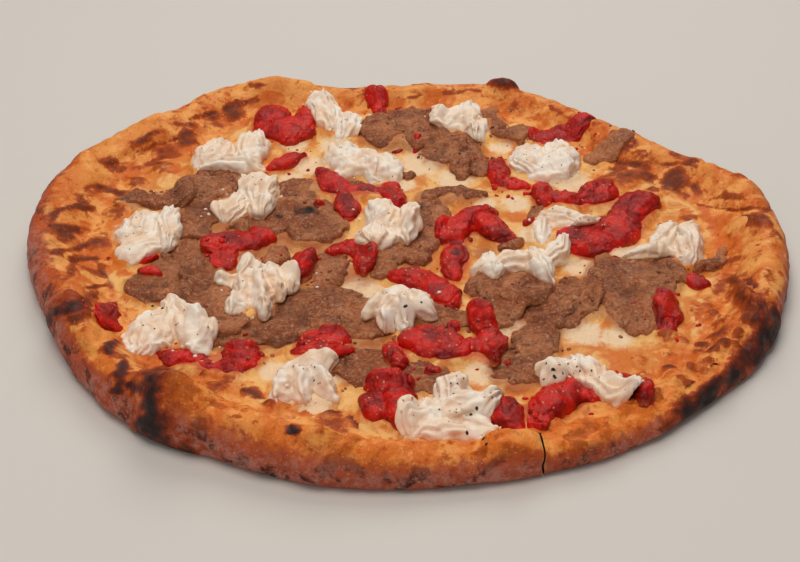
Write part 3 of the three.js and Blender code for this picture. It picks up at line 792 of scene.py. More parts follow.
def meat_look():
    """Sliced meatball: brown and grey, grainy, with dark bits, painted shade in its hollows and moist
    sparkles.
    """
    look = Look("cooked_meat", 0.6, 0.4, 0.03)
    broad = look.noise(16, 3, 0.5, 0.5)
    warm = look.noise(11, 3, 0.6, 0.5)
    grain = look.noise(2.6, 5, 0.75, 0.6)
    fine = look.noise(1.0, 3, 0.6)
    crumbs = look.noise(1.5, 4, 0.8, 0.3)
    look.start(broad, 0.35, 0.62, (214, 132, 82), (164, 88, 48))
    look.tone(warm, 0.54, 0.68, 0.75, 178, 86, 36)
    look.tone(warm, 0.42, 0.3, 0.6, 170, 114, 94)
    look.tone(grain, 0.53, 0.65, 0.75, 222, 154, 114)
    look.tone(grain, 0.43, 0.33, 0.8, 100, 54, 34)
    look.tone(crumbs, 0.53, 0.61, 0.6, 236, 172, 126)
    look.tone(crumbs, 0.44, 0.36, 0.4, 104, 54, 32)
    look.tone(look.noise(2.6, 2, 0.5, 1.0), 0.64, 0.72, 0.7, 226, 176, 142)
    # Painted shade in the hollows of the relief.
    look.tint(look.attribute("hollow"), 0.5, 92, 50, 36)
    foot = look.times(look.attribute("foot"), look.remap(broad, 0.42, 0.58))
    look.tint(foot, 0.85, 226, 160, 100)
    look.tone(fine, 0.64, 0.7, 0.8, 50, 28, 22)
    look.tint(look.attribute("char"), 1, 34, 24, 22)
    look.bump(grain, 1.8, 1.0)
    look.bump(crumbs, 1.1, 1.0)
    look.bump(fine, 0.5, 1.0)
    return look.finish(look.remap(grain, 0.35, 0.65, 0.7, 0.28))


def tomato_look():
    """Roasted tomato: deep wet red, orange flesh in places, pale grains painted as small glints too,
    painted shade in its folds.
    """
    look = Look("roasted_tomato", 0.25, 0.22, 0.05, (1, 0.12, 0.06))
    broad = look.noise(10, 3, 0.5, 0.6)
    fine = look.noise(2.0, 4, 0.7)
    dots = look.cells(2.0)
    grainy = look.remap(look.noise(14, 3, 0.5, 0.6), 0.47, 0.58)
    look.start(broad, 0.38, 0.62, (212, 26, 14), (154, 14, 12))
    look.tone(fine, 0.54, 0.7, 0.4, 208, 48, 28)
    look.tint(grainy, 0.25, 192, 46, 32)
    # Pale grains of the flesh that are also painted highlights: small glints painted into the colour.
    look.tint(look.times(look.remap(dots, 0.3, 0.14), grainy), 0.65, 230, 120, 90)
    # Painted shade in the hollows and folds of the relief.
    look.tint(look.attribute("hollow"), 0.7, 92, 8, 8)
    foot = look.times(look.attribute("foot"), look.remap(broad, 0.45, 0.6))
    look.tint(foot, 0.7, 216, 110, 60)
    look.tint(look.attribute("char"), 1, 30, 24, 20)
    look.bump(broad, 0.8, 0.4)
    look.bump(fine, 0.7, 0.8)
    look.bump(dots, 0.4, 0.5)
    return look.finish(look.remap(fine, 0.35, 0.7, 0.14, 0.42))


def ricotta_look():
    """Fresh ricotta: warm white, with warm painted shade in its creases."""
    look = Look("fresh_ricotta", 0.5, 0.35, 0.2, (1, 0.75, 0.5))
    curds = look.noise(4, 4, 0.65, 0.4)
    grain = look.noise(1.8, 3, 0.6)
    look.start(look.noise(13, 3, 0.5, 0.6), 0.38, 0.62, (248, 236, 222), (244, 218, 192))
    # Warm painted shade in the creases of the relief.
    look.tint(look.attribute("hollow"), 0.5, 216, 172, 134)
    foot = look.times(look.attribute("foot"), look.remap(curds, 0.35, 0.6, 0.3, 1))
    look.tint(foot, 0.9, 236, 190, 138)
    look.bump(curds, 0.9, 0.6)
    look.bump(grain, 0.25, 0.6)
    return look.finish(look.remap(grain, 0.3, 0.7, 0.34, 0.6))


def plain_look(name, dark, light, roughness, size_mm):
    """A small thing of two close colours."""
    look = Look(name, roughness)
    patches = look.noise(size_mm, 2)
    look.start(patches, 0.4, 0.6, dark, light)
    look.bump(patches, 0.15, 0.5)
    return look.finish(roughness)


# ---- marks by place
# Places are as read in the plane SEEN_PLANE. A stroke is x, y to x, y, its
# radius, and its strength. A patch is x, y and its radius.

CHAR_STROKES = [
    # from the flank of the big bubble at the front left, round to the right
    (-119, -104, -117, -126, 7, 0.6), (-117, -126, -111, -148, 8, 0.62),
    (-120, -106, -119, -126, 4.5, 1.1), (-118, -126, -115, -146, 5.5, 1.15),
    (-110, -148, -96, -158, 5, 0.4), (-134, -94, -133, -114, 3, 0.8),
    (-128, -106, -127, -110, 2.5, 0.8), (-141, -74, -139, -82, 3, 0.7), (-171, -47, -160, -43, 6, 0.55),
    (-170, -50, -164, -47, 4, 0.8), (-173, -50, -174, -62, 4, 0.6), (-15, -143, -14, -144, 3.2, 1.3),
    (-52, -140, -52, -146, 1.6, 1.1), (116, -147, 133, -131, 4.5, 0.5), (133, -131, 152, -108, 5, 0.55),
    (152, -108, 166, -86, 5.5, 0.6), (163, -36, 168, -56, 8, 0.6), (168, -56, 173, -80, 8, 0.66),
    (165, -42, 168, -56, 3.5, 0.9), (60, 172, 66, 176, 8, 0.55), (106, 88, 128, 101, 5, 0.5),
]
BROWN_STROKES = [
    # from the top of the big bubble at the front left, all round
    (-115, -100, -106, -96, 4, 0.9), (-106, -96, -96, -100, 3, 0.7), (-121, -104, -116, -100, 4, 1),
    (-164, -54, -164, -44, 5, 1.1), (-164, -44, -155, -38, 4, 0.9), (-142, -79, -141, -79, 4, 1.1),
    (-136, -88, -135, -88, 3.5, 1), (-134, -112, -128, -103, 5, 0.9), (-95, -159, -70, -152, 5, 0.7),
    (-70, -152, -61, -163, 5, 0.6), (30, -163, 33, -162, 3.5, 0.9), (50, -160, 56, -168, 6, 0.8),
    (14, -168, 22, -176, 6, 0.7), (77, -149, 82, -147, 4, 0.9), (112, 67, 121, 77, 3, 0.7),
    (121, 77, 131, 76, 3.5, 0.9), (131, 76, 135, 55, 3.5, 0.8), (155, 56, 159, 44, 3, 0.8),
    (-163, 91, -158, 86, 4.5, 1.1), (-169, 66, -153, 60, 4, 0.9), (-147, 104, -128, 116, 3, 0.7),
    (-117, 139, -109, 140, 4.5, 1), (-96, 157, -88, 160, 4, 0.9), (-130, 57, -128, 72, 3.5, 0.9),
    (-140, 88, -137, 90, 3, 0.8), (-188, 30, -170, 22, 4, 1), (-170, -6, -158, -3, 2.5, 1),
    (-157, -6, -147, -25, 2.5, 0.9), (-159, -29, -141, -28, 2.5, 0.8), (24, 163, 44, 165, 3, 0.6),
    (5, 158, 12, 160, 2.5, 0.6), (88, 145, 96, 128, 3.5, 0.6), (-100, -112, -84, -124, 3, 0.7),
    (-84, -106, -66, -122, 2.5, 0.7), (-87, -123, -86, -124, 2.5, 1), (-79, -133, -78, -134, 2.5, 1),
    (82, -146, 78, -141, 3.5, 0.8), (75, -152, 70, -153, 3, 0.8), (-45, -128, -24, -130, 1.8, 0.8),
    (-24, -130, -21, -142, 1.8, 0.8), (147, 77, 158, 77, 3.5, 0.8), (146, 57, 154, 56, 5, 0.5),
    (151, 40, 144, 53, 2.5, 0.7), (157, 34, 177, 27, 2, 0.7), (177, 27, 196, 31, 2, 0.7),
    (-113, 142, -108, 144, 5, 0.9),
    # broad toasted places first, then small ones, all round
    (-152, 84, -140, 96, 11, 0.3), (-138, 104, -120, 120, 10, 0.3), (-112, 134, -96, 146, 9, 0.35),
    (-168, 56, -160, 36, 9, 0.15), (-164, 10, -158, -16, 9, 0.15), (120, 96, 148, 70, 10, 0.35),
    (-176, 58, -168, 44, 4, 0.9), (-150, 112, -140, 122, 4, 0.8), (-126, 132, -118, 128, 3.5, 0.8),
    (-100, 150, -84, 158, 3.5, 0.8), (-178, 4, -166, 8, 3.5, 0.9), (-180, -14, -176, -30, 3.5, 0.7),
    (-30, 170, -12, 166, 3.5, 0.7), (170, 44, 180, 40, 3.5, 0.6), (150, 90, 160, 76, 4, 0.6),
    (-162, 94, -158, 90, 5, 0.8), (-86, 177, -80, 176, 4, 0.7), (-180, 24, -176, 18, 6, 0.9),
    (-189, 32, -182, 46, 3, 0.8), (-182, 46, -170, 50, 3, 0.8), (-171, -4, -163, -2, 3, 0.8),
    (-171, -4, -169, -20, 2.5, 0.7), (-150, -100, -120, -140, 5, 0.5), (-146, 84, -128, 96, 4, 0.6),
    (-140, 110, -126, 100, 4, 0.6), (160, -20, 168, -14, 3, 0.5),
]
CHEESE_BLISTERS = [
    (124, -82, 5.5), (146, -86, 6), (123, -94, 4.5), (136, -94, 5), (121, -108, 5), (124, -121, 5),
    (137, -112, 5), (108, -98, 4.5), (110, -112, 4), (131, -85, 4), (112, -130, 5), (150, -74, 5),
    (140, -60, 4), (100, -138, 5), (92, -130, 4), (-34, -142, 12), (-62, -128, 6), (-72, -116, 6),
    (-88, -112, 7), (-98, -122, 7), (110, 60, 7), (122, 62, 9), (146, 56, 9), (150, 20, 7),
    (134, 48, 6), (-132, 84, 8), (-144, 70, 7), (-152, 40, 7), (-158, 10, 8), (-156, -20, 7),
    (-120, 112, 7), (-96, 138, 8), (-20, 156, 7), (10, 152, 6), (66, 138, 6), (64, -145, 5),
    (76, -140, 4),
]
CREAM_PATCHES = [
    (10, 82, 14), (28, 66, 12), (-22, -36, 12), (-44, -122, 14), (-62, -100, 9), (-36, -104, 10),
    (34, -106, 10), (52, -72, 10), (84, -76, 12), (100, -80, 10), (60, 40, 9), (66, 10, 9),
    (-50, 84, 12), (-36, 104, 12), (-60, 106, 9), (12, 100, 10), (56, 98, 8), (90, 62, 14),
    (-88, -6, 6), (110, -6, 10), (88, -20, 10), (-110, -66, 14), (8, -142, 14), (76, -104, 10),
    (98, -130, 10), (-140, 20, 14), (-12, 14, 14), (0, 62, 9), (44, 40, 7), (-60, 70, 8),
]
OIL_PATCHES = [
    (90, -83, 9), (-25, -30, 7), (50, -118, 6), (142, 40, 16), (150, 60, 16), (120, 60, 12),
    (-150, 0, 18), (-150, 30, 18), (-120, 120, 16), (-60, 150, 16), (20, 158, 16), (-140, 80, 18),
    (60, 150, 14), (144, -30, 12), (100, -100, 16), (128, -100, 18), (-90, -116, 18), (-30, -142, 14),
    (70, -150, 12), (-20, -18, 8), (-70, 14, 8), (60, 26, 8), (48, 90, 6),
]
MEATY_PATCHES = [
    (-75, 0, 20), (-66, -14, 14), (-30, 64, 12), (-84, 30, 16), (-100, 12, 12), (-20, -25, 12),
    (-88, -20, 10), (-40, 4, 9), (-2, 100, 8), (40, -6, 8), (-64, 4, 14), (-20, -76, 10),
]
BLACK_BITS = [  # the burnt places on toppings
    (-50, 38, 5), (-65, 33, 3.5), (-55, 36, 3), (12, -64, 2.5), (26, -5, 3), (36, -7, 2), (9, 38, 3),
    (-60, -26, 1.5), (-91, -22, 2),
]


def stroke_mask(seen, strokes):
    """Strength of the strokes over places, blotchy and soft at their edges."""
    moved = wandering(seen, 2.4, 8, 201)
    mask = np.zeros(len(seen))
    for *stroke, radius, strength in strokes:
        away = stroke_distance(moved, *stroke) / radius
        mask = np.maximum(mask, strength * np.exp(-(away**2)))
    return mask * (1 + 0.4 * noise(table(*seen.T, 0.0), 4, 205))


def patch_mask(seen, patches):
    """Strength of round patches over places, soft at their edges."""
    mask = np.zeros(len(seen))
    for x, y, radius in patches:
        away = np.hypot(seen[:, 0] - x, seen[:, 1] - y) / radius
        mask = np.maximum(mask, np.exp(-(away**2)))
    return mask


# ---- crust

# How far in from the outline the wall's own red brown and its painted shade reach, every 15 degrees.
WALL_AND_SHADE_BAND = [5, 4, 4, 5, 5, 5, 5, 5, 5, 5, 8, 15, 20, 17, 8, 9, 14, 15, 14, 8, 7, 6, 6, 5]
CRUST_SEGMENTS = 900
CRUST_WALL, CRUST_SHOULDER, CRUST_SLOPE = 20, 26, 34
INNER_RING, FLOOR_RING = 0.6, 0.9  # as shares of the foot's and the base's reach
BLADE_LOW, BLADE_HIGH = -20, 60

cut_length = np.linalg.norm(CUT_END - CUT_START)
cut_along = (CUT_END - CUT_START) / cut_length
cut_across = np.array([-cut_along[1], cut_along[0]])


def cut_blade():
    """The thin block that cuts the slot at the front."""
    side = cut_across * CUT_WIDTH / 2
    outline = (CUT_START - side, CUT_END - side, CUT_END + side, CUT_START + side)
    corners = [(*spot, z) for z in (BLADE_LOW, BLADE_HIGH) for spot in outline]
    faces = [[3, 2, 1, 0], [4, 5, 6, 7], [0, 1, 5, 4], [1, 2, 6, 5], [2, 3, 7, 6], [3, 0, 4, 7]]
    return make_mesh("blade", np.array(corners), np.array(faces))


def cut_distance(points):
    """How far points are from the faces of the slot."""
    offset = points[:, :2] - CUT_START
    along = offset @ cut_along
    within = (along > 0) & (along < cut_length + 1)
    return np.where(within, np.abs(np.abs(offset @ cut_across) - CUT_WIDTH / 2), 99)


def dressed_crust():
    """The fine crust before it is cut, with its lumps and blisters."""
    points, share, upward = rim_grid(CRUST_SEGMENTS, CRUST_WALL, CRUST_SHOULDER, CRUST_SLOPE)
    rows = len(points)
    points, share, upward = points.reshape(-1, 3), share.ravel(), upward.ravel()
    x, y, z = points.T.copy()
    radius = np.hypot(x, y)
    hold = smoothstep(z, 0.3, 5) * (1 - smoothstep(share, 0.8, 1))
    side = np.where(share > 0, 0, dome(upward))
    wall_lumps = 1.2 * rough_noise(points, 14, 31) + 0.4 * noise(points, 3.5, 33)
    points[:, 2] += crust_lumps(x, y) * hold * upward
    points += table(x / radius, y / radius, 0.0) * (wall_lumps * side * hold)[:, None]
    points[:, 2] += 0.25 * noise(points, 2.4, 35) * hold
    points[:, 2] -= 1.6 * np.exp(-((cut_distance(points) / 2.6) ** 2)) * hold * upward
    inner, base = points[-CRUST_SEGMENTS:], points[:CRUST_SEGMENTS]
    middle_top, middle_base = [[0, 0, DOUGH_THICKNESS]], [[0, 0, 0]]
    inner_ring, floor_ring = inner * [INNER_RING, INNER_RING, 1], base * [FLOOR_RING, FLOOR_RING, 0]
    points = np.concatenate([points, inner_ring, middle_top, floor_ring, middle_base])
    last = rows * CRUST_SEGMENTS
    ring = np.arange(CRUST_SEGMENTS)
    beside = (ring + 1) % CRUST_SEGMENTS
    top_middle = last + CRUST_SEGMENTS
    base_ring = top_middle + 1
    base_middle = base_ring + CRUST_SEGMENTS
    faces = np.concatenate([
        grid_faces(rows + 1, CRUST_SEGMENTS, True),
        table(last + ring, last + beside, top_middle, top_middle),
        table(beside, ring, base_ring + ring, base_ring + beside),
        table(base_ring + beside, base_ring + ring, base_middle, base_middle),
    ])
    return points, faces


def make_crust():
    """The crust with the slot cut, and its marks on its points."""
    whole = triangle_mesh("crust_whole", *dressed_crust())
    blade = cut_blade()
    cut = whole.modifiers.new("cut", "BOOLEAN")
    cut.operation = "DIFFERENCE"
    cut.object = blade
    cut.solver = "MANIFOLD"
    points, faces = evaluated(whole)
    bpy.data.objects.remove(blade)
    crooked = noise(table(points[:, 1], points[:, 2], 0.0), 7, 49)
    points[:, 0] += 1.1 * crooked * smoothstep(cut_distance(points), 9, 1)
    seen = seen_from_eye(points)
    x, y, z = points.T
    angle, inward = rim_place(x, y)
    upward = z / (around(RIM_HEIGHT, angle) + bubble_rise(x, y))
    # The wall mark is the outer wall's own red brown and also painted shade: strongest low on the wall,
    # and reaching higher on the left.
    outside = 1 - smoothstep(inward / around(WALL_AND_SHADE_BAND, angle), 0.2, 1.0)
    wall = outside * (1 - smoothstep(upward - 0.35 * smoothstep(-x, 120, 160), 0.3, 1.15))
    right_edge = right_side(x, y)
    tops = smoothstep(crust_lumps(x, y), 0.8, 3.0)
    brown = 0.6 * tops * smoothstep(upward, 0.5, 0.9) + stroke_mask(seen, BROWN_STROKES)
    brown += 0.25 * noise(points, 22, 41) + 0.5 * right_edge * outside
    char = stroke_mask(seen, CHAR_STROKES) + 0.3 * tops * smoothstep(noise(points, 30, 43), 0.2, 0.6)
    char += 0.6 * right_edge * outside * smoothstep(noise(points, 8, 44), -0.4, 0.4)
    plain = (1 - tops) * (1 - outside) * (1 - smoothstep(brown + char, 0.1, 0.5))
    marks = {
        "brown": np.clip(brown, 0, 1.2),
        "char": np.clip(char, 0, 1.3),
        # the wall's own red brown and painted shade
        "wall": wall,
        "flour": wall * smoothstep(noise(points, 22, 45) + wall, 0.2, 1.1),
        "pale": smoothstep(noise(points, 18, 47), -0.1, 0.5) * plain,
        # painted warm light on the front of the rim
        "front_warm_light": smoothstep(-y, 80, 140),
        "crumb": cut_distance(points) < 0.3,
    }
    return triangle_mesh("crust_baked", points, faces, marks)


# ---- cheese

CHEESE_REACH, CHEESE_STEP = 200, 1.25
SLOT_END = 0.3  # how far down the rim's slope the cheese is cut too


def covered(kind):
    """A map that is 1 under the toppings of a kind and 0 elsewhere."""
    total = np.zeros_like(map_x)
    for lobe in sum(lobes_of(kind), []):
        total = np.maximum(total, lobe_height(lobe, ROUNDNESS[kind], map_x, map_y) > 0.5)
    return total


meat_cover, tomato_cover, ricotta_cover = (covered(kind) for kind in ROUNDNESS)
skirt_map = blurred(np.max([meat_cover, tomato_cover, ricotta_cover], axis=0), 9)
juice_map = blurred(tomato_cover, 8)
fat_map = blurred(meat_cover, 11)


def cheese_height(x, y):
    """Height of the melted cheese, how far up the rim it is, and its blisters."""
    here = table(x, y, 0.0)
    seen = wandering(seen_from_eye(table(x, y, CHEESE_TOP + 1.0)), 0.8, 5, 66)
    share = rim_share(x, y)
    blisters = np.zeros(len(x))
    for bx, by, radius in CHEESE_BLISTERS:
        away = np.hypot(seen[:, 0] - bx, seen[:, 1] - by) / radius
        blisters = np.maximum(blisters, dome(away) * min(1.0, radius / 7))
    away, number = nearest_cell(here, 8.5, 71)
    scattered = np.where(number > -0.3, dome(away / 0.52), 0) * smoothstep(share, 1.7, 1.0)
    right_front = right_side(x, y)
    blisters = np.maximum(blisters, (0.55 + 0.45 * right_front) * scattered)
    edge = share + 0.16 * noise(here, 15, 73) + 0.1 * noise(here, 5, 75) + 0.6 * right_front
    film = -1.2 + 2.0 * smoothstep(edge, 0.1, 0.95)
    rim = crust_top(x, y) + crust_lumps(x, y) * (1 - smoothstep(share, 0.9, 1.3)) + film
    relief = 0.7 * noise(here, 18, 61) + 0.6 * noise(here, 8, 63) + 0.3 * noise(here, 3.5, 65)
    skirt = 3.0 * smoothstep(read_map(skirt_map, x, y), 0.1, 0.6) * (0.75 + 0.5 * noise(here, 12, 77))
    pool = CHEESE_TOP + 0.4 + relief + skirt
    crease = np.maximum(4.0 - np.abs(pool - rim), 0) / 4.0
    height = np.maximum(pool, rim) + crease**2 + (2.0 + 0.8 * right_front) * blisters
    return height, share, blisters


def make_cheese():
    """The cheese as a fine sheet that dips under the crust all round."""
    line = np.arange(-CHEESE_REACH, CHEESE_REACH + 5, CHEESE_STEP)
    x, y = (grid.ravel() for grid in np.meshgrid(line, line, indexing="ij"))
    z, share, blisters = cheese_height(x, y)
    points = table(x, y, z)
    faces = grid_faces(len(line), len(line), False)
    inside = (share > 0.12 - 0.45 * right_side(x, y))[faces].all(axis=1)
    in_slot = ((cut_distance(points) < CUT_WIDTH / 2) & (share < SLOT_END))[faces].any(axis=1)
    points, faces, share, blisters = kept_faces(points, faces, inside & ~in_slot, share, blisters)
    seen = seen_from_eye(points)
    x, y, _ = points.T
    rim = 1 - smoothstep(share, 0.8, 1.5)
    right_front = right_side(x, y)
    brown = (0.65 + 0.2 * right_front) * blisters**2 + stroke_mask(seen, BROWN_STROKES)
    brown += 0.2 * noise(points, 13, 81) + 0.1 * right_front + stroke_mask(seen, CHAR_STROKES)
    oil = np.maximum(patch_mask(seen, OIL_PATCHES), 0.7 * rim)
    marks = {
        "brown": np.clip(brown, 0, 1.3),
        "rim": np.maximum(rim, 0.7 * (blisters > 0)),
        "cream": patch_mask(seen, CREAM_PATCHES) * (1 - rim),
        "oil": oil * smoothstep(noise(points, 9, 83), -0.6, 0.2),
        "juice": 1.3 * read_map(juice_map, x, y),
        "meat_fat": 1.5 * read_map(fat_map, x, y) + patch_mask(seen, MEATY_PATCHES),
    }
    return make_mesh("cheese_melted", points, faces, marks)


# ---- toppings

VOXEL = {"meatball": 0.8, "tomato": 0.7, "ricotta": 0.65}
FOOT = {"meatball": 2.5, "tomato": 2.5, "ricotta": 3.0}
TOP_SHAPE = {"meatball": 0.35, "tomato": 0.6, "ricotta": 0.9}
OUTLINE_WANDER = {"meatball": 2.2, "tomato": 1.6, "ricotta": 1.5}
RELIEF_DEPTH = {"meatball": 1.8, "tomato": 1.6, "ricotta": 1.6}
FULL_HEIGHT = 6.5  # pieces lower than this take up less of the colour at their foot
BALL_SIDES, BALL_ROWS = 28, 16
RELAXINGS = 4
SCRAP_SEED = 5000

# Small scraps that are no pieces of their own in the solids, as seen.
TOMATO_SCRAPS = [
    (145, -38, 14, 9, 95, 4), (83, -93, 12, 6, 70, 3), (8, 100, 12, 7, 90, 3), (-2, 96, 10, 6, 30, 3),
    (-132, -3, 16, 8, 0, 3), (-150, -6, 12, 5, -20, 2.5), (13, -103, 9, 8, 0, 4),
    (-56, -92, 14, 4, 75, 3), (-115, -71, 11, 5, 60, 3), (-128, -16, 15, 6, -40, 3),
    (66, 20, 10, 6, 20, 3), (-44, 46, 9, 6, 40, 3), (22, -70, 9, 6, 60, 3), (52, 62, 9, 6, 80, 3),
    (-30, -86, 12, 5, 10, 3), (112, 8, 10, 6, 30, 3),
]
MEAT_SCRAPS = [
    (158, -18, 22, 9, 60, 4), (150, -24, 12, 7, 20, 3), (-30, 66, 18, 12, 20, 4),
    (-66, -8, 16, 10, 40, 4), (54, 4, 16, 8, 20, 4), (-84, 26, 18, 12, 70, 4), (-10, -24, 14, 8, 10, 3),
    (32, 74, 18, 12, 80, 4), (4, 70, 14, 8, 20, 3), (-116, -44, 16, 10, 60, 4), (0, -72, 14, 8, 10, 3),
    (70, 30, 12, 8, 50, 3),
]


def lobe_mesh(lobe, kind):
    """One lobe on a flat floor, before it is draped."""
    points = ball_points(np.linspace(-math.pi / 2, math.pi / 2, BALL_ROWS + 1), BALL_SIDES)
    x, y = place_on_lobe(lobe, points[:, 0] * lobe[2] / 2, points[:, 1] * lobe[3] / 2)
    rise = np.abs(points[:, 2])
    z = np.where(points[:, 2] > 0, lobe[5] * rise ** TOP_SHAPE[kind], -FOOT[kind] * rise)
    return table(x, y, z), grid_faces(BALL_ROWS + 1, BALL_SIDES, True)


def joined_lobes(lobes, kind):
    """The lobes of a piece as one even mesh."""
    raw = triangle_mesh("raw", *joined([lobe_mesh(lobe, kind) for lobe in lobes]))
    remesh = raw.modifiers.new("even", "REMESH")
    remesh.mode = "VOXEL"
    remesh.voxel_size = VOXEL[kind] / 1000
    points, faces = evaluated(raw)
    return relaxed(points, faces, RELAXINGS), faces


def highest_lobe(lobes, roundness, x, y):
    """Which lobe stands highest at each place, and the place along and across it."""
    owner = np.argmax([lobe_height(lobe, roundness, x, y) for lobe in lobes], axis=0)
    along, across = np.zeros((2, len(x)))
    for number, lobe in enumerate(lobes):
        mine = owner == number
        along[mine], across[mine] = lobe_place(lobe, x[mine], y[mine])
    return owner, along, across


def meat_relief(points, lobes, seed):
    """A grainy, torn slice of meat with pits and a few cracks."""
    pits = -0.7 * smoothstep(noise(points, 3.2, seed + 1), 0.45, 0.8)
    cracks = -1.0 * smoothstep(0.05 - np.abs(noise(points, 15, seed + 2)), 0, 0.05)
    cracks = cracks * smoothstep(noise(points, 20, seed + 5), 0.1, 0.4)
    lumps = 1.5 * noise(points, 10, seed + 3) + 1.0 * noise(points, 4.5, seed + 6)
    return lumps + pits + cracks + 0.7 * noise(points, 2.3, seed + 4)


def tomato_relief(points, lobes, seed):
    """Soft lumps of roasted tomato, wrinkled, with grainy flesh in places."""
    lumps = 1.6 * noise(points, 10, seed) + 0.4 * noise(points, 4, seed + 1)
    wrinkles = -0.6 * smoothstep(0.1 - np.abs(noise(points, 9, seed + 2)), 0, 0.1)
    flesh = 0.6 * noise(points, 2.2, seed + 3) * smoothstep(noise(points, 12, seed + 4), -0.3, 0.2)
    return lumps + wrinkles + flesh


def ricotta_relief(points, lobes, seed):
    """The soft ribs that a star nozzle leaves, blurred and torn in places."""
    owner, along, across = highest_lobe(lobes, ROUNDNESS["ricotta"], points[:, 0], points[:, 1])
    widths = np.array([lobe[3] for lobe in lobes])[owner]
    ribs = np.round(np.clip(widths / 5.0, 2, 4))
    narrow = np.sqrt(np.maximum(0.1, 1 - along**2))
    wander = 0.5 * noise(points, 11, seed) + 0.12 * noise(points, 4, seed + 1)
    rib = np.cos(math.pi * ribs * (across / narrow + wander))
    clear = smoothstep(noise(points, 14, seed + 7), -0.5, 0.3)
    curds = 1.6 * (0.45 - nearest_cell(points, 5.5, seed + 8)[0])
    lumps = 1.2 * noise(points, 8, seed + 3) + 0.7 * noise(points, 3.6, seed + 4)
    return 0.75 * rib * clear + curds * (1 - 0.7 * clear) + lumps + 0.3 * noise(points, 1.8, seed + 5)


RELIEF = {"meatball": meat_relief, "tomato": tomato_relief, "ricotta": ricotta_relief}


def shaped_topping(kind, seed, lobes, soft_map):
    """A piece draped over those laid before it: points, faces and marks."""
    points, faces = joined_lobes(lobes, kind)
    here = table(points[:, 0], points[:, 1], 0.0)
    relief = RELIEF[kind](points, lobes, seed)
    exposed = smoothstep(points[:, 2], -0.5, 1.5)
    shaped = points + point_normals(points, faces) * (relief * exposed)[:, None]
    fine = table(noise(here, 3.5, seed + 80), noise(here, 3.5, seed + 81))
    shaped[:, :2] += OUTLINE_WANDER[kind] * (torn(points, 11, (seed + 50, seed + 60)) + 0.3 * fine)
    keep = (points[:, 2] > -1.2)[faces].any(axis=1)
    shaped[:, 2] += read_map(soft_map, shaped[:, 0], shaped[:, 1])
    height = points[:, 2] * FULL_HEIGHT / min(FULL_HEIGHT, max(lobe[5] for lobe in lobes))
    burnt = 1.3 * patch_mask(seen_from_eye(shaped), BLACK_BITS)
    marks = {
        # painted shade in the hollows of the relief, full where it sinks by RELIEF_DEPTH
        "hollow": smoothstep(-relief / RELIEF_DEPTH[kind], 0.0, 0.9),
        "foot": smoothstep(-height - 1.5 * noise(shaped, 6, seed + 72), -3.0, 0.5),
        "char": np.clip(burnt + 0.4 * noise(shaped, 2, seed + 70) - 0.35, 0, 1),
    }
    shaped, faces, *columns = kept_faces(shaped, faces, keep, *marks.values())
    return shaped, faces, dict(zip(marks, columns))


def make_scraps(name, kind, scraps):
    """Small scraps as one mesh, laid before the tomato and the ricotta."""
    soft_map = PIECES[len(MEATBALL)][3]  # what the first tomato lies on
    parts = []
    for number, scrap in enumerate(scraps):
        parts.append(shaped_topping(kind, SCRAP_SEED + 100 * number, seated([scrap]), soft_map))
    marks = {key: np.concatenate([part[2][key] for part in parts]) for key in parts[0][2]}
    return make_mesh(name, *joined([part[:2] for part in parts]), marks)


def add_piece(made, look, node=None):
    """Makes a mesh a piece of the object, in place of a node if one is named."""
    made.data.materials.append(look)
    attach(made, "root")
    if node:
        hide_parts(node)
    return made


# ---- small things

# Flakes of herb and pepper that can be told apart, as seen: x, y, size.
HERB_SPOTS = [
    (-124, -46, 2.4), (-119, -48, 2.6), (-124, -53, 1.2), (-111, -62, 1.6), (-127, -62, 1.4),
    (-67, -94, 1.4), (-53, -97, 1.4), (-43, -98, 1.6), (-43, -108, 1.8), (-41, -110.5, 1.4),
    (21, -120, 1.6), (20, -112.5, 1.8), (23, -112.5, 1.4), (26, -109, 1.6), (14, -131, 1.4),
    (35, -123, 1.6), (38.5, -123.5, 1.4), (31, -131, 2.6), (28, -135, 2.8), (26, -148, 2.2),
    (33, -152, 3), (34, -156, 2.2), (18, -140, 1.4), (0, -51, 2.6), (8, -48, 1.6), (68, -104, 3.2),
    (68, -109, 2.6), (63, -111, 1.8), (75, -100, 1.4), (79, -102, 1.6), (80, -105.5, 1.8),
    (85.5, -105.5, 1.6), (47, -110, 2.6), (65, -99, 2), (72, -107, 1.6),
]
FLAKE_AREA = 150  # square millimetres of ricotta to a flake
LOOSE_FLAKES, LOOSE_REACH = 70, 150
SEEDY_TOMATOES = {8: 8, 9: 9, 10: 14, 12: 10, 13: 12, 17: 7, 18: 6, 22: 9, 23: 6, 11: 3, 7: 4, 5: 5, 4: 4}


def surface_tree(objects):
    """A search tree over the shown surfaces, in millimetres of the source's frame."""
    points, faces = joined([read_mesh(made.data) for made in objects])
    corners = [tuple(dict.fromkeys(face)) for face in faces.tolist()]
    return BVHTree.FromPolygons(points.tolist(), corners)


def along_eye(tree, x, y):
    """What the eye sees at a place of the plane SEEN_PLANE: the spot and its normal."""
    start = Vector(EYE.tolist())
    return tree.ray_cast(start, Vector((x, y, SEEN_PLANE)) - start)[:2]


def from_above(tree, x, y):
    """The surface straight below a place: the spot and its normal."""
    return tree.ray_cast(Vector((x, y, 100)), Vector((0, 0, -1)))[:2]


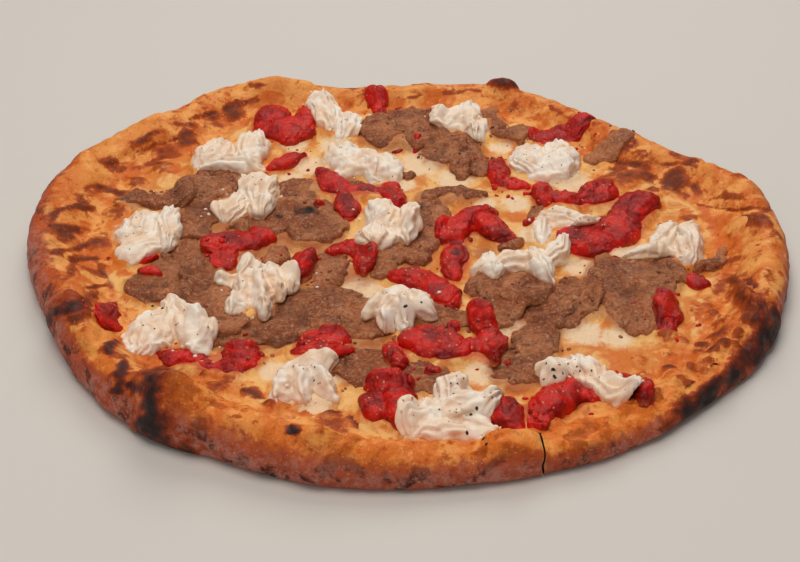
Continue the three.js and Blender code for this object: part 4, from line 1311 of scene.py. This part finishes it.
def pebble(sides, rows):
    """A small closed ball of triangles, to be pressed into grains and flakes."""
    rises = np.linspace(-math.pi / 2, math.pi / 2, rows + 1)[1:-1]
    points = np.concatenate([ball_points(rises, sides), [[0, 0, -1], [0, 0, 1]]])
    between = grid_faces(rows - 1, sides, True)
    low, high = len(points) - 2, len(points) - 1
    here = np.arange(sides)
    beside = (here + 1) % sides
    last = (rows - 2) * sides
    ends = [table(beside, here, low), table(last + here, last + beside, high)]
    return points, np.concatenate([between[:, [0, 1, 2]], between[:, [0, 2, 3]], *ends])


def herb_spots(tree, rng):
    """Herb and pepper: the flakes that can be told apart, and a fine scatter."""
    spots = [(*along_eye(tree, x, y), (size, 0.65 * size, 0.4)) for x, y, size in HERB_SPOTS]
    for lobe in sum(lobes_of("ricotta"), []):
        for _ in range(int(lobe[2] * lobe[3] / FLAKE_AREA)):
            x = lobe[0] + rng.uniform(-0.45, 0.45) * lobe[2]
            y = lobe[1] + rng.uniform(-0.45, 0.45) * lobe[2]
            size = rng.uniform(0.6, 1.3)
            spots.append((*from_above(tree, x, y), (size, 0.7 * size, 0.35)))
    for _ in range(LOOSE_FLAKES):
        angle, radius = rng.uniform(0, TURN), LOOSE_REACH * math.sqrt(rng.uniform(0, 1))
        size = rng.uniform(0.6, 1.4)
        spot = from_above(tree, radius * math.cos(angle), radius * math.sin(angle))
        spots.append((*spot, (size, 0.7 * size, 0.35)))
    return spots


def seed_spots(tree, rng):
    """Tomato seeds on the pieces that lie with their flesh up."""
    spots = []
    for number, lobes in enumerate(lobes_of("tomato"), 1):
        for _ in range(SEEDY_TOMATOES.get(number, 0)):
            lobe = lobes[rng.integers(len(lobes))]
            along, across = rng.uniform(-0.4, 0.4) * lobe[2], rng.uniform(-0.35, 0.35) * lobe[3]
            spot = from_above(tree, *place_on_lobe(lobe, along, across))
            spots.append((*spot, (rng.uniform(1.1, 1.9), rng.uniform(0.8, 1.2), 0.6)))
    return spots


def crumb_spots(tree, rng, kind, count, low, high, spread):
    """Loose crumbs on and beside the pieces of a kind."""
    spots = []
    lists = lobes_of(kind)
    for _ in range(count):
        lobes = lists[rng.integers(len(lists))]
        lobe = lobes[rng.integers(len(lobes))]
        angle, away = rng.uniform(0, TURN), spread * rng.uniform(0.7, 1.2)
        x = lobe[0] + away * lobe[2] / 2 * math.cos(angle)
        y = lobe[1] + away * lobe[2] / 2 * math.sin(angle)
        size = rng.uniform(low, high)
        if kind == "ricotta" or read_map(ricotta_cover, x, y) < 0.1:
            shape = (size, size * rng.uniform(0.6, 0.9), size * 0.6)
            spots.append((*from_above(tree, x, y), shape))
    return spots


def add_small(name, spots, look, rng, sides=6, rows=4, ruggedness=0.2):
    """Many small things as one piece. A spot is a place, a normal and three sizes."""
    parts = []
    for spot, normal, size in [one for one in spots if one[0] is not None]:
        points, faces = pebble(sides, rows)
        bumps = 1 + ruggedness * rng.uniform(-1, 1, len(points))
        turn = Matrix.Rotation(rng.uniform(0, TURN), 3, "Z")
        tilt = normal.to_track_quat("Z", "Y").to_matrix() @ turn
        shape = points * bumps[:, None] * np.array(size) / 2
        parts.append((shape @ np.array(tilt).T + np.array(spot), faces))
    add_piece(make_mesh(name, *joined(parts)), look)


# ---- stage and camera

FLOOR_HALF = 4000


def add_floor():
    """A plain pale floor under the pizza."""
    corners = np.array([[-1, -1, 0], [1, -1, 0], [1, 1, 0], [-1, 1, 0]]) * FLOOR_HALF
    floor = make_mesh("floor", corners, np.array([[0, 1, 2, 3]]))
    look = Look("pale_floor", 0.7)
    look.shader.inputs["Base Color"].default_value = srgb(214, 210, 205)
    floor.data.materials.append(look.material)


def add_light(name, place, size, power, colour):
    """A soft square lamp that looks at the pizza's middle."""
    data = bpy.data.lights.new(name, "AREA")
    data.shape = "SQUARE"
    data.size = size
    data.energy = power
    data.color = colour
    lamp = add_object(name, data)
    lamp.location = place
    lamp.rotation_euler = (-Vector(place)).to_track_quat("-Z", "Y").to_euler()


def add_lights():
    """A broad window light from behind, a weak fill from the front, a pale sky."""
    # place and size in metres, power in watts
    add_light("window", (0.15, 1.0, 1.2), 1.0, 9.4, (1.0, 0.96, 0.9))
    add_light("overhead", (-0.15, -0.2, 1.5), 0.9, 10.6, (1.0, 0.95, 0.89))
    add_light("fill", (-0.5, -1.3, 0.9), 1.2, 2.6, (1.0, 0.95, 0.9))
    world = bpy.data.worlds.new("sky")
    world.use_nodes = True
    background = world.node_tree.nodes["Background"]
    background.inputs["Color"].default_value = (1.0, 0.96, 0.92, 1)
    background.inputs["Strength"].default_value = 0.2
    bpy.context.scene.world = world
    bpy.context.scene.view_settings.view_transform = "Standard"


def add_camera():
    """The camera at the eye from which the picture was taken."""
    data = bpy.data.cameras.new("eye")
    data.lens = LENS
    data.sensor_width = SENSOR
    data.sensor_fit = "HORIZONTAL"
    data.clip_start, data.clip_end = 0.05, 20
    camera = add_object("eye", data)
    place = Matrix.Translation(Vector(((EYE + SHIFT) / 1000).tolist()))
    look_down = Matrix.Rotation(math.pi / 2 - EYE_ELEVATION, 4, "X")
    camera.matrix_world = place @ look_down @ Matrix.Rotation(EYE_ROLL, 4, "Z")
    bpy.context.scene.camera = camera


# ---- assembly

LOOKS = {"meatball": meat_look(), "tomato": tomato_look(), "ricotta": ricotta_look()}

add_camera()
add_floor()
add_lights()

dressed = [
    add_piece(make_crust(), crust_look(), "crust"),
    add_piece(make_cheese(), cheese_look(), "melted_cheese"),
]
for kind, number, lobes, soft_map in PIECES:
    node = f"{kind}_{number}"
    shape = shaped_topping(kind, 100 * number + len(kind), lobes, soft_map)
    dressed.append(add_piece(make_mesh(f"{node}_dressed", *shape), LOOKS[kind], node))

tomato_scraps = make_scraps("tomato_scraps", "tomato", TOMATO_SCRAPS)
dressed.append(add_piece(tomato_scraps, LOOKS["tomato"]))
meat_scraps = make_scraps("meat_scraps", "meatball", MEAT_SCRAPS)
dressed.append(add_piece(meat_scraps, LOOKS["meatball"]))

tree = surface_tree(dressed)
rng = np.random.default_rng(7)
herb = plain_look("herb_flake", (26, 24, 16), (62, 58, 30), 0.7, 1.5)
seed_look = plain_look("tomato_seed", (206, 100, 62), (226, 150, 112), 0.3, 1.2)
meat_crumb = plain_look("meat_crumb", (104, 58, 38), (170, 108, 76), 0.6, 1.5)
add_small("herb_flakes", herb_spots(tree, rng), herb, rng, 5, 3, 0.35)
add_small("tomato_seeds", seed_spots(tree, rng), seed_look, rng, 8, 5, 0.08)
for name, kind, look, count, low, high, spread in (
    ("ricotta_crumbs", "ricotta", LOOKS["ricotta"], 110, 1.2, 3.2, 1.0),
    ("meat_crumbs", "meatball", meat_crumb, 260, 1.0, 3.0, 0.95),
    ("tomato_crumbs", "tomato", LOOKS["tomato"], 150, 1.2, 3.6, 1.0),
):
    add_small(name, crumb_spots(tree, rng, kind, count, low, high, spread), look, rng)
